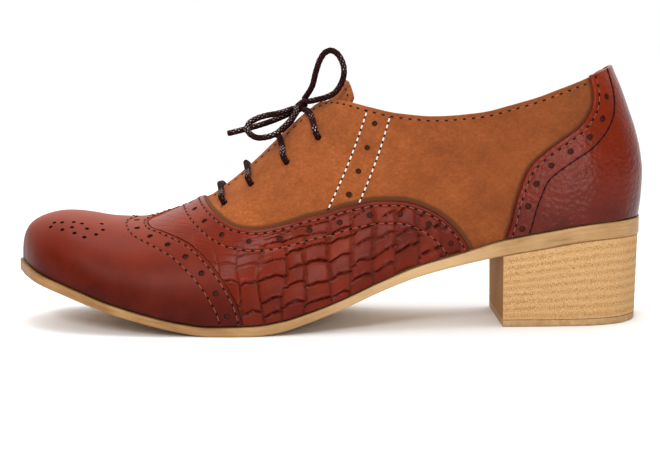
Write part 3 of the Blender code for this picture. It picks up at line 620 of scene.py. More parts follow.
def soleWaxed():
    # pressed sole leather, cut edge waxed: fibres lie along the edge, paler toward the heel
    material, tree = newMaterial("soleWaxed", {"Roughness": 0.55, "Specular IOR Level": 0.35})
    fibres = stretched(tree, attribute(tree, "edge", "Vector"), (60.0, 900.0, 300.0))
    streak = noise(tree, fibres, 1.0, 5.0, 0.65)
    place = objectPlace(tree)
    both = blend(tree, 0.45, streak, noise(tree, place, 75.0, 4.0))
    front = ramp(tree, both, (0.3, "#6c4c29"), (0.48, "#92693b"), (0.7, "#b08553"))
    rear = ramp(tree, both, (0.3, "#76532c"), (0.45, "#a07a4c"), (0.7, "#b99465"))
    x = partOf(tree, place, "X")
    tone = tint(tree, mapRange(tree, x, (-0.06, 0.03)), front, rear)
    # the waist between ball and heel is rubbed paler
    waist = ramp(tree, mathNode(tree, "MULTIPLY_ADD", x, 4.0, 0.5),
                 (0.47, "#000000"), (0.58, "#b0b0b0"), (0.7, "#b0b0b0"), (0.8, "#000000"))
    joinUp(tree, tint(tree, waist, tone, "#d8b486"), streak, 0.35, 0.0003)
    return material


def leatherStacked():
    # leather lifts glued and ground flush: each lift shows a speckled fibre band over a paler one
    material, tree = newMaterial("leatherStacked", {"Roughness": 0.7, "Specular IOR Level": 0.06})
    edge, place = attribute(tree, "edge", "Vector"), objectPlace(tree)
    lift = mathNode(tree, "MULTIPLY_ADD", noise(tree, place, 90.0), 0.3, partOf(tree, edge, "Y"))
    band = mathNode(tree, "SINE", mathNode(tree, "MULTIPLY", lift, 2 * math.pi))
    speckle = noise(tree, place, 2100.0, 2.0, 0.7)
    fibre = mathNode(tree, "MULTIPLY_ADD", band, 0.05, speckle)
    tone = ramp(tree, fibre, (0.32, "#8f6a3e"), (0.44, "#b18959"), (0.56, "#c2996a"), (0.74, "#cda67a"))
    # painted shade: the breast under the arch is darker than the ground sides
    joinUp(tree, tint(tree, partOf(tree, edge, "Z"), tone, "#a0703a"), fibre, 0.3, 0.0003)
    return material


def rubberMoulded():
    # moulded natural rubber of the top piece: matt, even, a little dusty
    material, tree = newMaterial("rubberMoulded", {"Roughness": 0.75, "Specular IOR Level": 0.35})
    dust = noise(tree, objectPlace(tree), 400.0, 4.0)
    joinUp(tree, ramp(tree, dust, (0.35, "#a07c50"), (0.7, "#b8956a")))
    return material


def cottonWaxed():
    # braided cotton cord, waxed: near-black brown strands, painted shade between the strands and
    # painted pale glints on the crowns of the braid
    material, tree = newMaterial("cottonWaxed", {"Roughness": 0.6, "Specular IOR Level": 0.03})
    # painted shade: the hollows between the strands are darker than their crowns
    tone = ramp(tree, attribute(tree, "strand"), (0.0, "#100303"), (0.7, "#2b1010"), (1.0, "#48211e"))
    # painted highlight: pale glints mixed in on the upward crowns
    joinUp(tree, tint(tree, attribute(tree, "worn"), tone, "#e6dad4"))
    return material


def plainThread(name, code, roughness):
    # bonded polyester thread, or a bare cut edge: a slight twist shows as light and dark
    material, tree = newMaterial(name, {"Roughness": roughness, "Specular IOR Level": 0.1})
    twist = mathNode(tree, "MULTIPLY", noise(tree, objectPlace(tree), 1600.0), 0.4)
    settings = {"data_type": "RGBA", 6: code, 7: "#000000"}
    joinUp(tree, addNode(tree, "Mix", settings, {0: twist}).outputs[2])
    return material


suede = suedeNapped()
calf = calfPolished("calfPolished", pebble=1.1, depth=0.05, roughness=0.42, gloss=0.1)
pebbled = calfPolished("calfPebbled", pebble=1.9, depth=0.55, roughness=0.26, gloss=0.16)
scaled = calfEmbossed()
lining = liningTanned()
soleLeather = soleWaxed()
stacked = leatherStacked()
rubber = rubberMoulded()
cotton = cottonWaxed()
threadDark = plainThread("threadDark", "#0d0605", 0.6)
threadPale = plainThread("threadPale", "#f0ece6", 0.6)
threadRust = plainThread("threadRust", "#a85a44", 0.55)
punchedCalf = plainThread("punchedCalf", "#4f241a", 0.7)
# painted shade: the medallion holes get near-black floors
medallionHoleShade = plainThread("medallionHoleShade", "#1c0805", 0.8)
punchedSuede = plainThread("punchedSuede", "#4a2814", 0.9)
print("materials made")


# camera, light and floor
view = {"place": (0.6, -586.5, 109.0), "pitch": 6.96, "roll": -0.5, "lens": 76.25}


def addCamera():
    data = bpy.data.cameras.new("camera")
    data.lens = view["lens"]
    data.sensor_width = 36
    camera = addObject("camera", data)
    pitch, roll = math.radians(view["pitch"]), math.radians(view["roll"])
    ahead = Vector((0, math.cos(pitch), -math.sin(pitch)))
    right = Vector((1, 0, 0))
    up = right.cross(ahead)
    turned = math.cos(roll) * right + math.sin(roll) * up
    upright = -math.sin(roll) * right + math.cos(roll) * up
    facing = Matrix((turned, upright, -ahead)).transposed().to_4x4()
    camera.matrix_world = Matrix.Translation(Vector(view["place"]) * mm) @ facing
    bpy.context.scene.camera = camera


studio = {
    "front": {"place": (0.20, -1.10, 0.34), "size": 0.22, "power": 2.4},
    "side": {"place": (0.45, -1.12, 0.03), "size": 0.12, "power": 2.2},
    "key": {"place": (-0.34, -0.90, 0.72), "size": 0.30, "power": 4.9},
    "overhead": {"place": (-0.14, 0.05, 1.0), "size": 0.45, "power": 2.5},
    "behindCamera": 0.08, "behindShoe": 1.0, "above": 1.25, "floor": "#f7f7f7",
    "floorHalf": 40, "aim": (0, 0, 0.05),
}


def addLights():
    for name in ("front", "side", "key", "overhead"):
        lamp = studio[name]
        data = bpy.data.lights.new(name, "AREA")
        data.size = lamp["size"]
        data.energy = lamp["power"]
        light = addObject(name, data)
        light.location = lamp["place"]
        aim = Vector(studio["aim"]) - light.location
        light.rotation_euler = aim.to_track_quat("-Z", "Y").to_euler()
    # the room: dark behind the camera, white behind the shoe, brightest overhead
    world = bpy.data.worlds.new("studio")
    world.use_nodes = True
    tree = world.node_tree
    heading = addNode(tree, "TexCoord").outputs["Generated"]
    around = mapRange(tree, partOf(tree, heading, "Y"), (-0.1, 0.8),
                      (studio["behindCamera"], studio["behindShoe"]))
    above = mapRange(tree, partOf(tree, heading, "Z"), (0.3, 0.9), (0.0, studio["above"]))
    background = tree.nodes["Background"].inputs
    background["Color"].default_value = (1, 1, 1, 1)
    tree.links.new(mathNode(tree, "ADD", around, above), background["Strength"])
    bpy.context.scene.world = world
    mesh = bpy.data.meshes.new("floor")
    far = studio["floorHalf"]
    corners = [(-far, -far, 0), (far, -far, 0), (far, far, 0), (-far, far, 0)]
    mesh.from_pydata(corners, [], [(0, 1, 2, 3)])
    floor = addObject("floor", mesh)
    paper, _ = newMaterial("paperFloor", {"Base Color": studio["floor"], "Roughness": 0.9})
    mesh.materials.append(paper)
    bpy.context.scene.view_settings.view_transform = "Standard"


addCamera()
addLights()
print("camera, lights and floor placed")

# bow routes in millimetres from the middle of the knot, the same points as in the frame
laces = {"diameter": 2.5, "knotRise": 2.9, "knotHalf": (2.8, 3.3, 2.0), "braidPitch": 2.2,
         "sides": 24, "spacing": 0.28, "over": 0.1, "sunk": 0.4, "hump": 0.5, "endRound": 0.35,
         "wrapLong": 1.7, "wrapWide": 2.1, "wrapHigh": 0.9}
loopUpRoute = (
    (1.4, -0.6, 2.9), (2.8, -3.4, 4.9), (4.9, -7.7, 8.4), (6.7, -9.7, 14.9), (8.5, -10.7, 19.6),
    (10.6, -11.7, 22.2), (12.6, -12.2, 22.9), (14.9, -13.2, 21.9), (16.9, -14.2, 19.2),
    (17.9, -15.2, 16.1), (17.9, -15.7, 12.8), (16.8, -15.7, 9.5), (14.5, -15.2, 6.1),
    (11.0, -12.7, 4.0), (6.9, -8.9, 2.8), (3.6, -5.8, 2.1), (0.8, -3.3, 1.9),
)
loopSideRoute = (
    (-3.1, -1.0, -1.0), (-5.8, -4.4, -1.8), (-9.7, -8.7, -2.8), (-14.6, -10.7, -3.6),
    (-18.6, -12.7, -4.9), (-21.3, -14.7, -6.8), (-21.8, -16.2, -8.8), (-20.5, -17.7, -10.7),
    (-17.8, -18.7, -12.1), (-14.4, -17.7, -12.1), (-10.4, -15.7, -10.9), (-7.2, -12.7, -8.5),
    (-3.9, -9.5, -5.1), (-1.8, -5.9, -2.0), (-1.9, -3.4, -0.4),
)
endOuterRoute = (
    (-2.7, 1.9, -2.2), (-5.8, 0.6, -3.6), (-11.6, -2.6, -5.9), (-18.4, -5.0, -8.0),
    (-24.3, -7.0, -9.5), (-30.4, -8.7, -10.9),
)
endInnerRows = (
    (0.462, 0.905, 4.0), (0.452, 0.850, 4.4), (0.440, 0.780, 4.9), (0.426, 0.690, 4.9),
    (0.412, 0.600, 3.4), (0.402, 0.530, 2.2),
)


def smoothPath(route, spacing):
    # a curve through the route's points, read every spacing millimetres
    route = np.asarray(route, float)
    gone = runLength(route)
    steps = np.linspace(0, gone[-1], max(8, int(gone[-1] / spacing)))
    at = np.clip(np.searchsorted(gone, steps, side="right") - 1, 0, len(gone) - 2)
    step = np.diff(gone)[at]
    part = ((steps - gone[at]) / step)[:, None]
    return cubic(route, np.gradient(route, gone, axis=0), step[:, None], at, part)


def carriedFrames(path, ring):
    # two cross directions for each point, carried along without twisting
    if ring:
        tangent = unit(np.roll(path, -1, axis=0) - np.roll(path, 1, axis=0))
    else:
        tangent = unit(np.gradient(path, axis=0))
    sideways = np.empty_like(path)
    sideways[0] = unit(np.cross(tangent[0], (0.0, 0.3, 1.0)))
    for k in range(1, len(path)):
        sideways[k] = unit(sideways[k - 1] - tangent[k] * (sideways[k - 1] @ tangent[k]))
    return sideways, np.cross(tangent, sideways)


def braidedCord(name, route, ring=False):
    # a tube round the route: radius = r (0.95 + 0.07 strand), and
    # strand = |cos(3 angle + run) cos(3 angle - run)|, two sets of strands that cross
    path = smoothPath(route, laces["spacing"])
    if ring:
        path = path[:-1]
    sideways, outward = carriedFrames(path, ring)
    gone = runLength(path)
    angle = np.linspace(0, 2 * math.pi, laces["sides"], endpoint=False)[None, :]
    run = (gone * math.pi / laces["braidPitch"])[:, None]
    strand = np.abs(np.cos(3 * angle + run) * np.cos(3 * angle - run))
    radius = laces["diameter"] / 2 * (0.95 + 0.07 * strand)
    if not ring:
        toEnd = np.minimum(gone, gone[-1] - gone)[:, None] / laces["endRound"]
        radius = radius * np.sqrt(1 - np.clip(1 - toEnd, 0, 1) ** 2 * 0.5)
    points = path[:, None, :] + radius[..., None] * (
        np.cos(angle)[..., None] * sideways[:, None, :]
        + np.sin(angle)[..., None] * outward[:, None, :])
    # painted highlight: pale glints in patches of 9 mm, on the strands that lie on top and face up
    rng = np.random.default_rng(11)
    patches = ease(softNoise(gone, 0 * gone, len(name), 9.0) * 1.6 + 0.45)[:, None]
    crowns = np.clip((strand - 0.84) / 0.1, 0, 1)
    dots = crowns * (0.3 + 0.7 * rng.random((len(path), 1))) * patches
    lit = ease((points[..., 2] - path[:, None, 2]) / radius + 0.3)
    if ring:
        index = np.arange(strand.size).reshape(strand.shape)
        faces = gridQuads(np.vstack([index, index[:1]]), closedRing=True)
    else:
        faces = tubeFaces(*strand.shape)
    piece = makePiece(name, points, faces, cotton,
                      {"strand": strand.ravel(), "worn": (dots * lit).ravel()}, sharp=60)
    return piece, path


def barHalf(along, climb, crossing, side):
    # out of an eyelet and over the facing to the gap
    over = laces["diameter"] / 2 + shoe["clearance"] + laces["over"]
    start = (1 - climb) * side
    turn = turnOf(along)
    points = [formPoint(turn, start, -shoe["wall"] / 2), formPoint(turn, start, 0.6),
              formPoint(turn, start * 0.985, over + laces["hump"])]
    for share in (0.25, 0.5, 0.75):
        turn = turnOf(along + (crossing - along) * share)
        points.append(formPoint(turn, start * (1 - share), over + laces["over"]))
    return points


def makeLaces():
    rows = tableRows["eyelets"]
    overGap = laces["diameter"] / 2 + shoe["clearance"] - laces["sunk"]
    for number, row in enumerate(rows[:-1], start=1):
        middle = formPoint(turnOf(row[2]), 0.0, overGap)
        route = barHalf(*row, -1) + [middle] + barHalf(*row, 1)[::-1]
        piece, _ = braidedCord("laceBar%d" % number, route)
        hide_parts("lace_bar_%d" % number)
    crossing = turnOf(rows[-1][2])
    middle = formPoint(crossing, 0.0, overGap)
    for side, name, node in ((-1, "laceLeadOuter", "lace_lead_outer"),
                             (1, "laceLeadInner", "lace_lead_inner")):
        beside = middle + np.array([0.0, side * (laces["knotHalf"][1] - 0.6), 0.0])
        piece, _ = braidedCord(name, barHalf(*rows[-1], side)[:-1] + [beside])
        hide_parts(node)
    heart = formPoint(crossing, 0.0, laces["knotRise"])
    # the knot: a cord that crosses over itself, a figure of eight closed on itself
    lap = np.linspace(0, 2 * math.pi, 25)[:, None]
    normal = sectionNormal(crossing, 0.0)
    slope = np.array([normal[2], 0.0, -normal[0]])
    wrap = (heart + laces["wrapLong"] * np.sin(2 * lap) * slope
            + laces["wrapWide"] * np.sin(lap) * np.array([0.0, 1.0, 0.0])
            + laces["wrapHigh"] * np.cos(lap) * normal)
    knot, _ = braidedCord("laceKnot", wrap, ring=True)
    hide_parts("lace_knot")
    endInner = [formPoint(turnOf(along), 1 - climb, out) for along, climb, out in endInnerRows]
    free = [
        ("laceLoopUp", "lace_loop_up", heart + np.array(loopUpRoute), "knot"),
        ("laceLoopSide", "lace_loop_side", heart + np.array(loopSideRoute), "knot"),
        ("laceEndOuter", "lace_end_outer", heart + np.array(endOuterRoute), "bare"),
        ("laceEndInner", "lace_end_inner", np.array(endInner), "bare"),
    ]
    for name, node, route, farEnd in free:
        piece, path = braidedCord(name, route)
        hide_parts(node)


makeLaces()
print("laces tied")

# sole and heel
sole = {"stations": 170, "topRound": 0.55, "bottomRound": 0.9}


def slabRing(x, outer, inner, low, high, bottomRound, topRound, steps=7, across=6):
    # closed sections: flat top and bottom, quarter circles at the four corners
    limit = 0.25 * (inner - outer)
    below, above = np.minimum(bottomRound, limit), np.minimum(topRound, limit)
    bends = [(1 - math.sin(bend), 1 - math.cos(bend)) for bend in np.linspace(0, math.pi / 2, steps)]
    flats = np.linspace(0, 1, across)[1:-1]
    places = (
        [(outer + below * sine, low + below * cosine) for sine, cosine in bends]
        + [(outer + above * cosine, high - above * sine) for sine, cosine in bends]
        + [(outer + above + (inner - outer - 2 * above) * share, high) for share in flats]
        + [(inner - above * cosine, high - above * sine) for sine, cosine in bends[::-1]]
        + [(inner - below * sine, low + below * cosine) for sine, cosine in bends[::-1]]
        + [(inner - below + (outer - inner + 2 * below) * share, low) for share in flats])
    ys, zs = (np.stack(np.broadcast_arrays(*part), axis=-1) for part in zip(*places))
    return np.stack([np.broadcast_to(x[:, None], ys.shape), ys, zs], axis=-1)


def slabPiece(name, rings, material):
    # edge: place along the outer side, height and a share of the width, for the fibres
    gone = runLength(rings[:, 6])[:, None]
    height = rings[..., 2] - rings[:, :1, 2]
    edge = np.stack([gone + 0 * height, height, rings[..., 1] * 0.2], axis=-1) * mm
    return makePiece(name, rings, tubeFaces(*height.shape), material,
                     {"edge": edge.reshape(-1, 3)}, sharp=50)


def makeSole():
    turns = np.linspace(0, 1, sole["stations"])
    x = soleX(alongOf(turns))
    rings = slabRing(x, -soleHalf(turns, -1), soleHalf(turns, 1), soleBottom(x), soleTop(x),
                     sole["bottomRound"], sole["topRound"])
    piece = slabPiece("outsoleLeather", rings, soleLeather)
    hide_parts("outsole")


insole = {"stations": 120, "thickness": 2.0, "bed": 0.45, "inset": 2.6, "edgeRound": 0.7,
          "lowerRound": 0.3}


def makeInsole():
    turns = np.linspace(0, 1, insole["stations"])
    front, behind = upperX(0.0), upperX(1.0)
    middle, half = (front + behind) / 2, (behind - front) / 2
    x = middle + (upperX(turns) - middle) * (half - insole["inset"]) / half
    fade = marginFade(turns)
    outer = sectionPoint(turns, -1.0)[:, 1] + insole["inset"] * fade
    inner = sectionPoint(turns, 1.0)[:, 1] - insole["inset"] * fade
    low = soleTop(x) + insole["bed"]
    rings = slabRing(x, outer, inner, low, low + insole["thickness"],
                     insole["lowerRound"], insole["edgeRound"])
    piece = slabPiece("insoleSock", rings, lining)
    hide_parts("insole")


# stain: how much painted shade darkens the breast
heel = {"levels": 84, "around": 120, "breastColumns": 26, "lifts": 9.5, "groove": 0.07,
        "inset": 0.4, "taper": 1.0, "topPiece": 2.6, "cornerRound": 0.5, "breastShade": 0.9}
# the top piece's rows: share of its height, and how far it is drawn in
topPieceRows = ((0, 0.7), (0.05, 0.35), (0.15, 0.12), (0.3, 0), (0.85, 0), (0.95, 0.08), (1.0, 0.25))


def heelRings(level, zOf, pinch):
    # from the breast's outer corner round the back to its inner corner, then across the breast
    turn = np.linspace(turnOf(shoe["breastAlong"]), 1, heel["around"])
    side = np.concatenate([-np.ones(len(turn)), np.ones(len(turn) - 1)])[None, :]
    turn = np.concatenate([turn, turn[-2::-1]])[None, :]
    inset = heel["inset"] + heel["taper"] * (1 - level) + pinch
    behind = (alongOf(turn) - shoe["breastAlong"]) / (1 - shoe["breastAlong"])
    y = side * (soleHalf(turn, side) - inset * marginFade(turn))
    x = soleX(alongOf(turn)) - inset * behind
    flat = np.linspace(1, 0, heel["breastColumns"])[None, 1:-1]
    x = np.concatenate([x, x[:, :1] + 0 * flat], axis=1)
    y = np.concatenate([y, y[:, :1] + (y[:, -1:] - y[:, :1]) * flat], axis=1)
    return np.stack([x, y, zOf(x)], axis=-1)


def makeHeel():
    start = heel["topPiece"] + shoe["clearance"]
    corner = 0.008  # share of the height that rounds off
    share = np.concatenate([[0, corner / 2], np.linspace(corner, 1 - corner, heel["levels"]),
                            [1 - corner / 2, 1]])[:, None]
    level = start / shoe["heelHeight"] + share * (1 - start / shoe["heelHeight"])
    toEnd = np.minimum(share, 1 - share) / corner
    softened = heel["cornerRound"] * np.clip(1 - toEnd, 0, 1) ** 2
    pinch = softened + heel["groove"] * (1 + np.cos(2 * math.pi * heel["lifts"] * share)) / 2
    rings = heelRings(
        level, lambda x: start + share * (soleBottom(x) - shoe["clearance"] * 0.3 - start), pinch)
    # edge: place round the heel, number of the lift, and how much painted shade darkens the breast
    gone = runLength(rings[0]) * mm
    lifts = share * heel["lifts"] + 0 * gone
    onBreast = np.where(np.arange(len(gone)) >= 2 * heel["around"] - 1, heel["breastShade"], 0.0)
    edge = np.stack([gone + 0 * lifts, lifts, onBreast + 0 * lifts], axis=-1)
    piece = makePiece("heelStack", rings, tubeFaces(*lifts.shape), stacked,
                      {"edge": edge.reshape(-1, 3)}, sharp=35)
    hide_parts("heel_block")
    share, pinch = (np.array(column)[:, None] for column in zip(*topPieceRows))
    rings = heelRings(share * heel["topPiece"] / shoe["heelHeight"],
                      lambda x: share * (start - 0.05) + 0 * x, pinch)
    piece = makePiece("heelTopPiece", rings, tubeFaces(*rings.shape[:2]), rubber, sharp=35)
    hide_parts("heel_top_piece")


makeSole()
makeInsole()
makeHeel()
print("sole and heel made")


# seams and punched holes, laid along a path of places and normals on the form
stitch = {"length": 1.5, "pitch": 3.65, "width": 0.66, "height": 0.34, "paleLength": 1.7,
          "palePitch": 2.65, "paleWidth": 0.7, "lineRadius": 0.14, "solidRadius": 0.2,
          "strapRadius": 0.31, "rings": 7, "sides": 8, "lineSides": 6}
seams = {"dark": [], "rust": [], "pale": [], "solid": []}


def sew(path, *kinds):
    for kind in kinds:
        seams[kind].append(path)


def stitchRows(name, paths, material, length, pitch, width):
    # each stitch is a bead: long axis along the seam, sunk by half its height
    spots, tangents = [], []
    for path in paths:
        points, steps = resampled(path, 0.4)
        count = max(1, int((steps[-1] - length) / pitch))
        where = (steps[-1] - count * pitch) / 2 + pitch * np.arange(count + 1)
        spots.append(readAt(where, steps, points))
        tangents.append(readAt(where + 0.6, steps, points) - readAt(where - 0.6, steps, points))
    spot, tangent = np.concatenate(spots), unit(np.concatenate(tangents)[:, :3])
    centre, normal = spot[:, None, :3], spot[:, None, 3:]
    tangent = tangent[:, None, :]
    u = np.linspace(0, math.pi, stitch["rings"])[:, None]
    v = np.linspace(0, 2 * math.pi, stitch["sides"], endpoint=False)[None, :]
    girth = np.sqrt(np.sin(u))
    bead = np.stack([np.cos(u) * length / 2 + 0 * v, girth * np.cos(v) * width / 2,
                     girth * np.sin(v) * stitch["height"]], axis=-1).reshape(1, -1, 3)
    points = (centre + bead[..., :1] * tangent + bead[..., 1:2] * np.cross(normal, tangent)
              + bead[..., 2:] * normal)
    size = bead.shape[1]
    one = np.array(gridQuads(np.arange(size).reshape(u.size, v.size), closedRing=True))
    faces = (one + size * np.arange(len(spot))[:, None, None]).reshape(-1, 4).tolist()
    return makePiece(name, points, faces, material, sharp=0)


def threadLine(name, paths, material, radius, sunk):
    # a thin thread that lies along each seam under its stitches
    allPoints, allFaces, first = [], [], 0
    sides = stitch["lineSides"]
    angle = np.linspace(0, 2 * math.pi, sides, endpoint=False)[None, :, None]
    for path in paths:
        points, _ = resampled(path, 1.0)
        spine, normal = points[:, :3], points[:, 3:]
        sideways = np.cross(normal, unit(np.gradient(spine, axis=0)))
        allPoints.append((spine - sunk * normal)[:, None, :] + radius * (
            np.cos(angle) * sideways[:, None, :] + np.sin(angle) * normal[:, None, :]))
        allFaces += tubeFaces(len(spine), sides, first)
        first += len(spine) * sides
    return makePiece(name, np.concatenate(allPoints), allFaces, material, sharp=0)


def onForm(spots, out):
    # path of place and normal from (turn, across) pairs
    turn, across = spots[:, 0], spots[:, 1]
    places = formPoint(turn, across, np.full(len(turn), out))
    return np.concatenate([places, sectionNormal(turn, across)], axis=1)


def holesAlong(path, pitch, lead):
    points, steps = resampled(path, 0.4)
    return readAt(np.arange(lead, steps[-1] - 1.5, pitch), steps, points)


def punch(piece, spots, radius, depth, material, sides=16):
    # cuts round holes: one cutter of many short cones, its faces carry the hole's own material
    centre, normal = spots[:, :3], spots[:, 3:]
    steep = np.abs(normal[:, 2:3]) >= 0.9
    sideways = unit(np.cross(np.where(steep, (1.0, 0.0, 0.0), (0.0, 0.0, 1.0)), normal))
    other = np.cross(normal, sideways)
    angle = np.linspace(0, 2 * math.pi, sides, endpoint=False)[None, :, None]
    ring = radius * (np.cos(angle) * sideways[:, None, :] + np.sin(angle) * other[:, None, :])
    low = centre[:, None, :] - depth * normal[:, None, :] + 0.86 * ring
    high = centre[:, None, :] + 1.2 * normal[:, None, :] + ring * 1.06
    points = np.stack([low, high], axis=1).reshape(-1, 3)
    mesh = bpy.data.meshes.new("cutter")
    faces = sum((tubeFaces(2, sides, 2 * sides * k) for k in range(len(spots))), [])
    mesh.from_pydata((points * mm).tolist(), [], faces)
    turnOut(mesh)
    piece.data.materials.append(material)
    slots = len(piece.data.materials)
    for _ in range(slots):
        mesh.materials.append(material)
    mesh.polygons.foreach_set("material_index", np.full(len(mesh.polygons), slots - 1, np.int32))
    cutter = addObject("cutter", mesh)
    cut = piece.modifiers.new("punch", "BOOLEAN")
    cut.operation = "DIFFERENCE"
    cut.solver = "EXACT"
    cut.object = cutter
    graph = bpy.context.evaluated_depsgraph_get()
    done = bpy.data.meshes.new_from_object(piece.evaluated_get(graph))
    piece.modifiers.clear()
    old = piece.data
    piece.data = done
    done.name = old.name
    bpy.data.meshes.remove(old)
    bpy.data.objects.remove(cutter, do_unlink=True)
    bpy.data.meshes.remove(mesh)
    done.shade_smooth()
    done.set_sharp_from_angle(angle=math.radians(40))


# wing cap: its seams and holes are set by their distance from the rear edge, in millimetres
wingCap = {"rows": 150, "columns": 240, "low": 0.35, "high": 1.7, "edgeRound": 0.75,
           "medallionHole": 0.85, "edgeSeam": 1.6, "holeLine": 5.2, "innerSeam": 8.9,
           "seamWidth": 0.6, "holePitch": 10.2, "holeLead": 4.0, "hole": 1.25}
# the medallion on the toe: share of the length and place over it, the same on both sides
medallion = (
    (0.061, 0.355), (0.073, 0.345), (0.091, 0.315), (0.104, 0.315), (0.134, 0.250), (0.057, 0.425),
    (0.091, 0.400), (0.114, 0.375), (0.139, 0.340), (0.077, 0.455), (0.097, 0.470), (0.130, 0.420),
    (0.113, 0.490),
)


def overlayGrid(downs, acrosses, frontOf, rearOf):
    # (turn, across) of a sheet between two edges; the foot follows the sole
    down = np.asarray(downs)[:, None] + 0 * np.asarray(acrosses)[None, :]
    share = np.asarray(acrosses)[None, :] + 0 * down
    turn = 0.4 * down + 0.1
    for _ in range(14):
        foot = footAcross(turn, shoe["overlayFoot"])
        climb = 1 - np.abs(share * foot)
        front, rear = frontOf(climb), rearOf(climb)
        turn = front + (rear - front) * down
    return turn, share * footAcross(turn, shoe["overlayFoot"])


def edgeLines(panel, turn, across, distance):
    # the paths of the two seams and of the row of holes between them
    return {label: onForm(lineAt(turn.T, across.T, distance.T, panel[label]), panel["high"])
            for label in ("edgeSeam", "holeLine", "innerSeam")}


def sunkSeams(panel, high, distance, lines):
    # the thread draws the leather in by 0.16 mm
    for label in ("edgeSeam", "innerSeam"):
        high = high - 0.16 * bell(distance - panel[label], panel["seamWidth"])
        sew(lines[label], "dark", "rust")
    return high


def makeWing():
    turn, across = overlayGrid(
        np.linspace(0, 1, wingCap["rows"]), np.linspace(-1, 1, wingCap["columns"]),
        lambda climb: 0 * climb, lambda climb: edgeTurn("wing", climb))
    face = formPoint(turn, across, np.full(turn.shape, wingCap["high"]))
    distance = edgeDistance(face, face[-1])
    lines = edgeLines(wingCap, turn, across, distance)
    high = wingCap["high"] - roundedEdge(distance, wingCap["edgeRound"])
    high = sunkSeams(wingCap, high, distance, lines)
    piece = thickSheet("wingCapCalf", turn, across, wingCap["low"], high, calf,
                       ("end", "foot", "top"), {"rise": 1 - np.abs(across)}, every=3)
    holes = holesAlong(lines["holeLine"], wingCap["holePitch"], wingCap["holeLead"])
    punch(piece, holes, wingCap["hole"], 1.0, punchedCalf)
    dots = np.array([(turnOf(along), side * over) for along, over in medallion for side in (-1, 1)])
    punch(piece, onForm(dots, wingCap["high"]), wingCap["medallionHole"], 0.8, medallionHoleShade)
    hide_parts("wing_cap")


makeWing()
print("wing cap cut and punched")

# vamp panel: leather pressed into tiles, which stand in columns
vampPanel = {
    "rows": 190, "outerColumns": 215, "innerColumns": 150, "low": 0.3, "high": 1.3,
    "edgeRound": 0.8, "edgeSeam": 1.9, "holeLine": 5.3, "innerSeam": 9.0, "seamWidth": 0.5,
    "holePitch": 12.4, "holeLead": 5.0, "hole": 1.25, "gap": 0.25,
    "tileLong": 9.0, "tileHigh": 9.8, "arch": 0.12, "creaseDepth": 0.85, "creaseWidth": 0.55,
    "lip": 0.24, "dome": 0.12, "tone": 0.16,
    # how far the columns and the cuts across them wander: millimetres, seed, size
    "wanderLong": ((2.0, 3, 26.0), (0.45, 4, 5.0)), "wanderHigh": ((1.0, 5, 15.0), (0.7, 6, 4.5)),
    # where the pressing fades: over the front, from a height up, and beside the edge
    "frontX": -18.0, "frontFade": 0.78, "frontUp": 17.0, "topUp": 38.0, "topFade": 0.4,
}


def scalePattern(p, q, seed, count=64):
    # tiles stand in columns, each cut across at uneven steps: distances to the column's seam and
    # to the nearest crease, how deep that crease is, and a tone for each tile
    rng = np.random.default_rng(seed)
    starts = rng.uniform(0, 1, count)
    tilts = rng.uniform(-0.05, 0.2, count)
    jitter = rng.uniform(-0.22, 0.22, (count, count))
    depth = rng.uniform(0.65, 1.0, (count, count))
    tones = rng.random((count, count))
    column = np.floor(p / vampPanel["tileLong"]).astype(int)
    beside = p / vampPanel["tileLong"] - column
    toSeam = np.minimum(beside, 1 - beside) * vampPanel["tileLong"]
    column = column % count
    arch = vampPanel["arch"] * np.cos((beside - 0.5) * math.pi)
    place = q / vampPanel["tileHigh"] + starts[column] - tilts[column] * (beside - 0.5) - arch
    cell = np.floor(place).astype(int)
    toCrease = np.full(p.shape, 9.0)
    creaseDepth = np.ones(p.shape)
    tile = cell - 2
    for step in (-1, 0, 1, 2):
        number = (cell + step) % count
        apart = place - (cell + step) - jitter[column, number]
        tile = tile + (apart >= 0)
        nearer = np.abs(apart) < toCrease
        creaseDepth = np.where(nearer, depth[column, number], creaseDepth)
        toCrease = np.where(nearer, np.abs(apart), toCrease)
    return toSeam, toCrease * vampPanel["tileHigh"], creaseDepth, tones[column, tile % count]


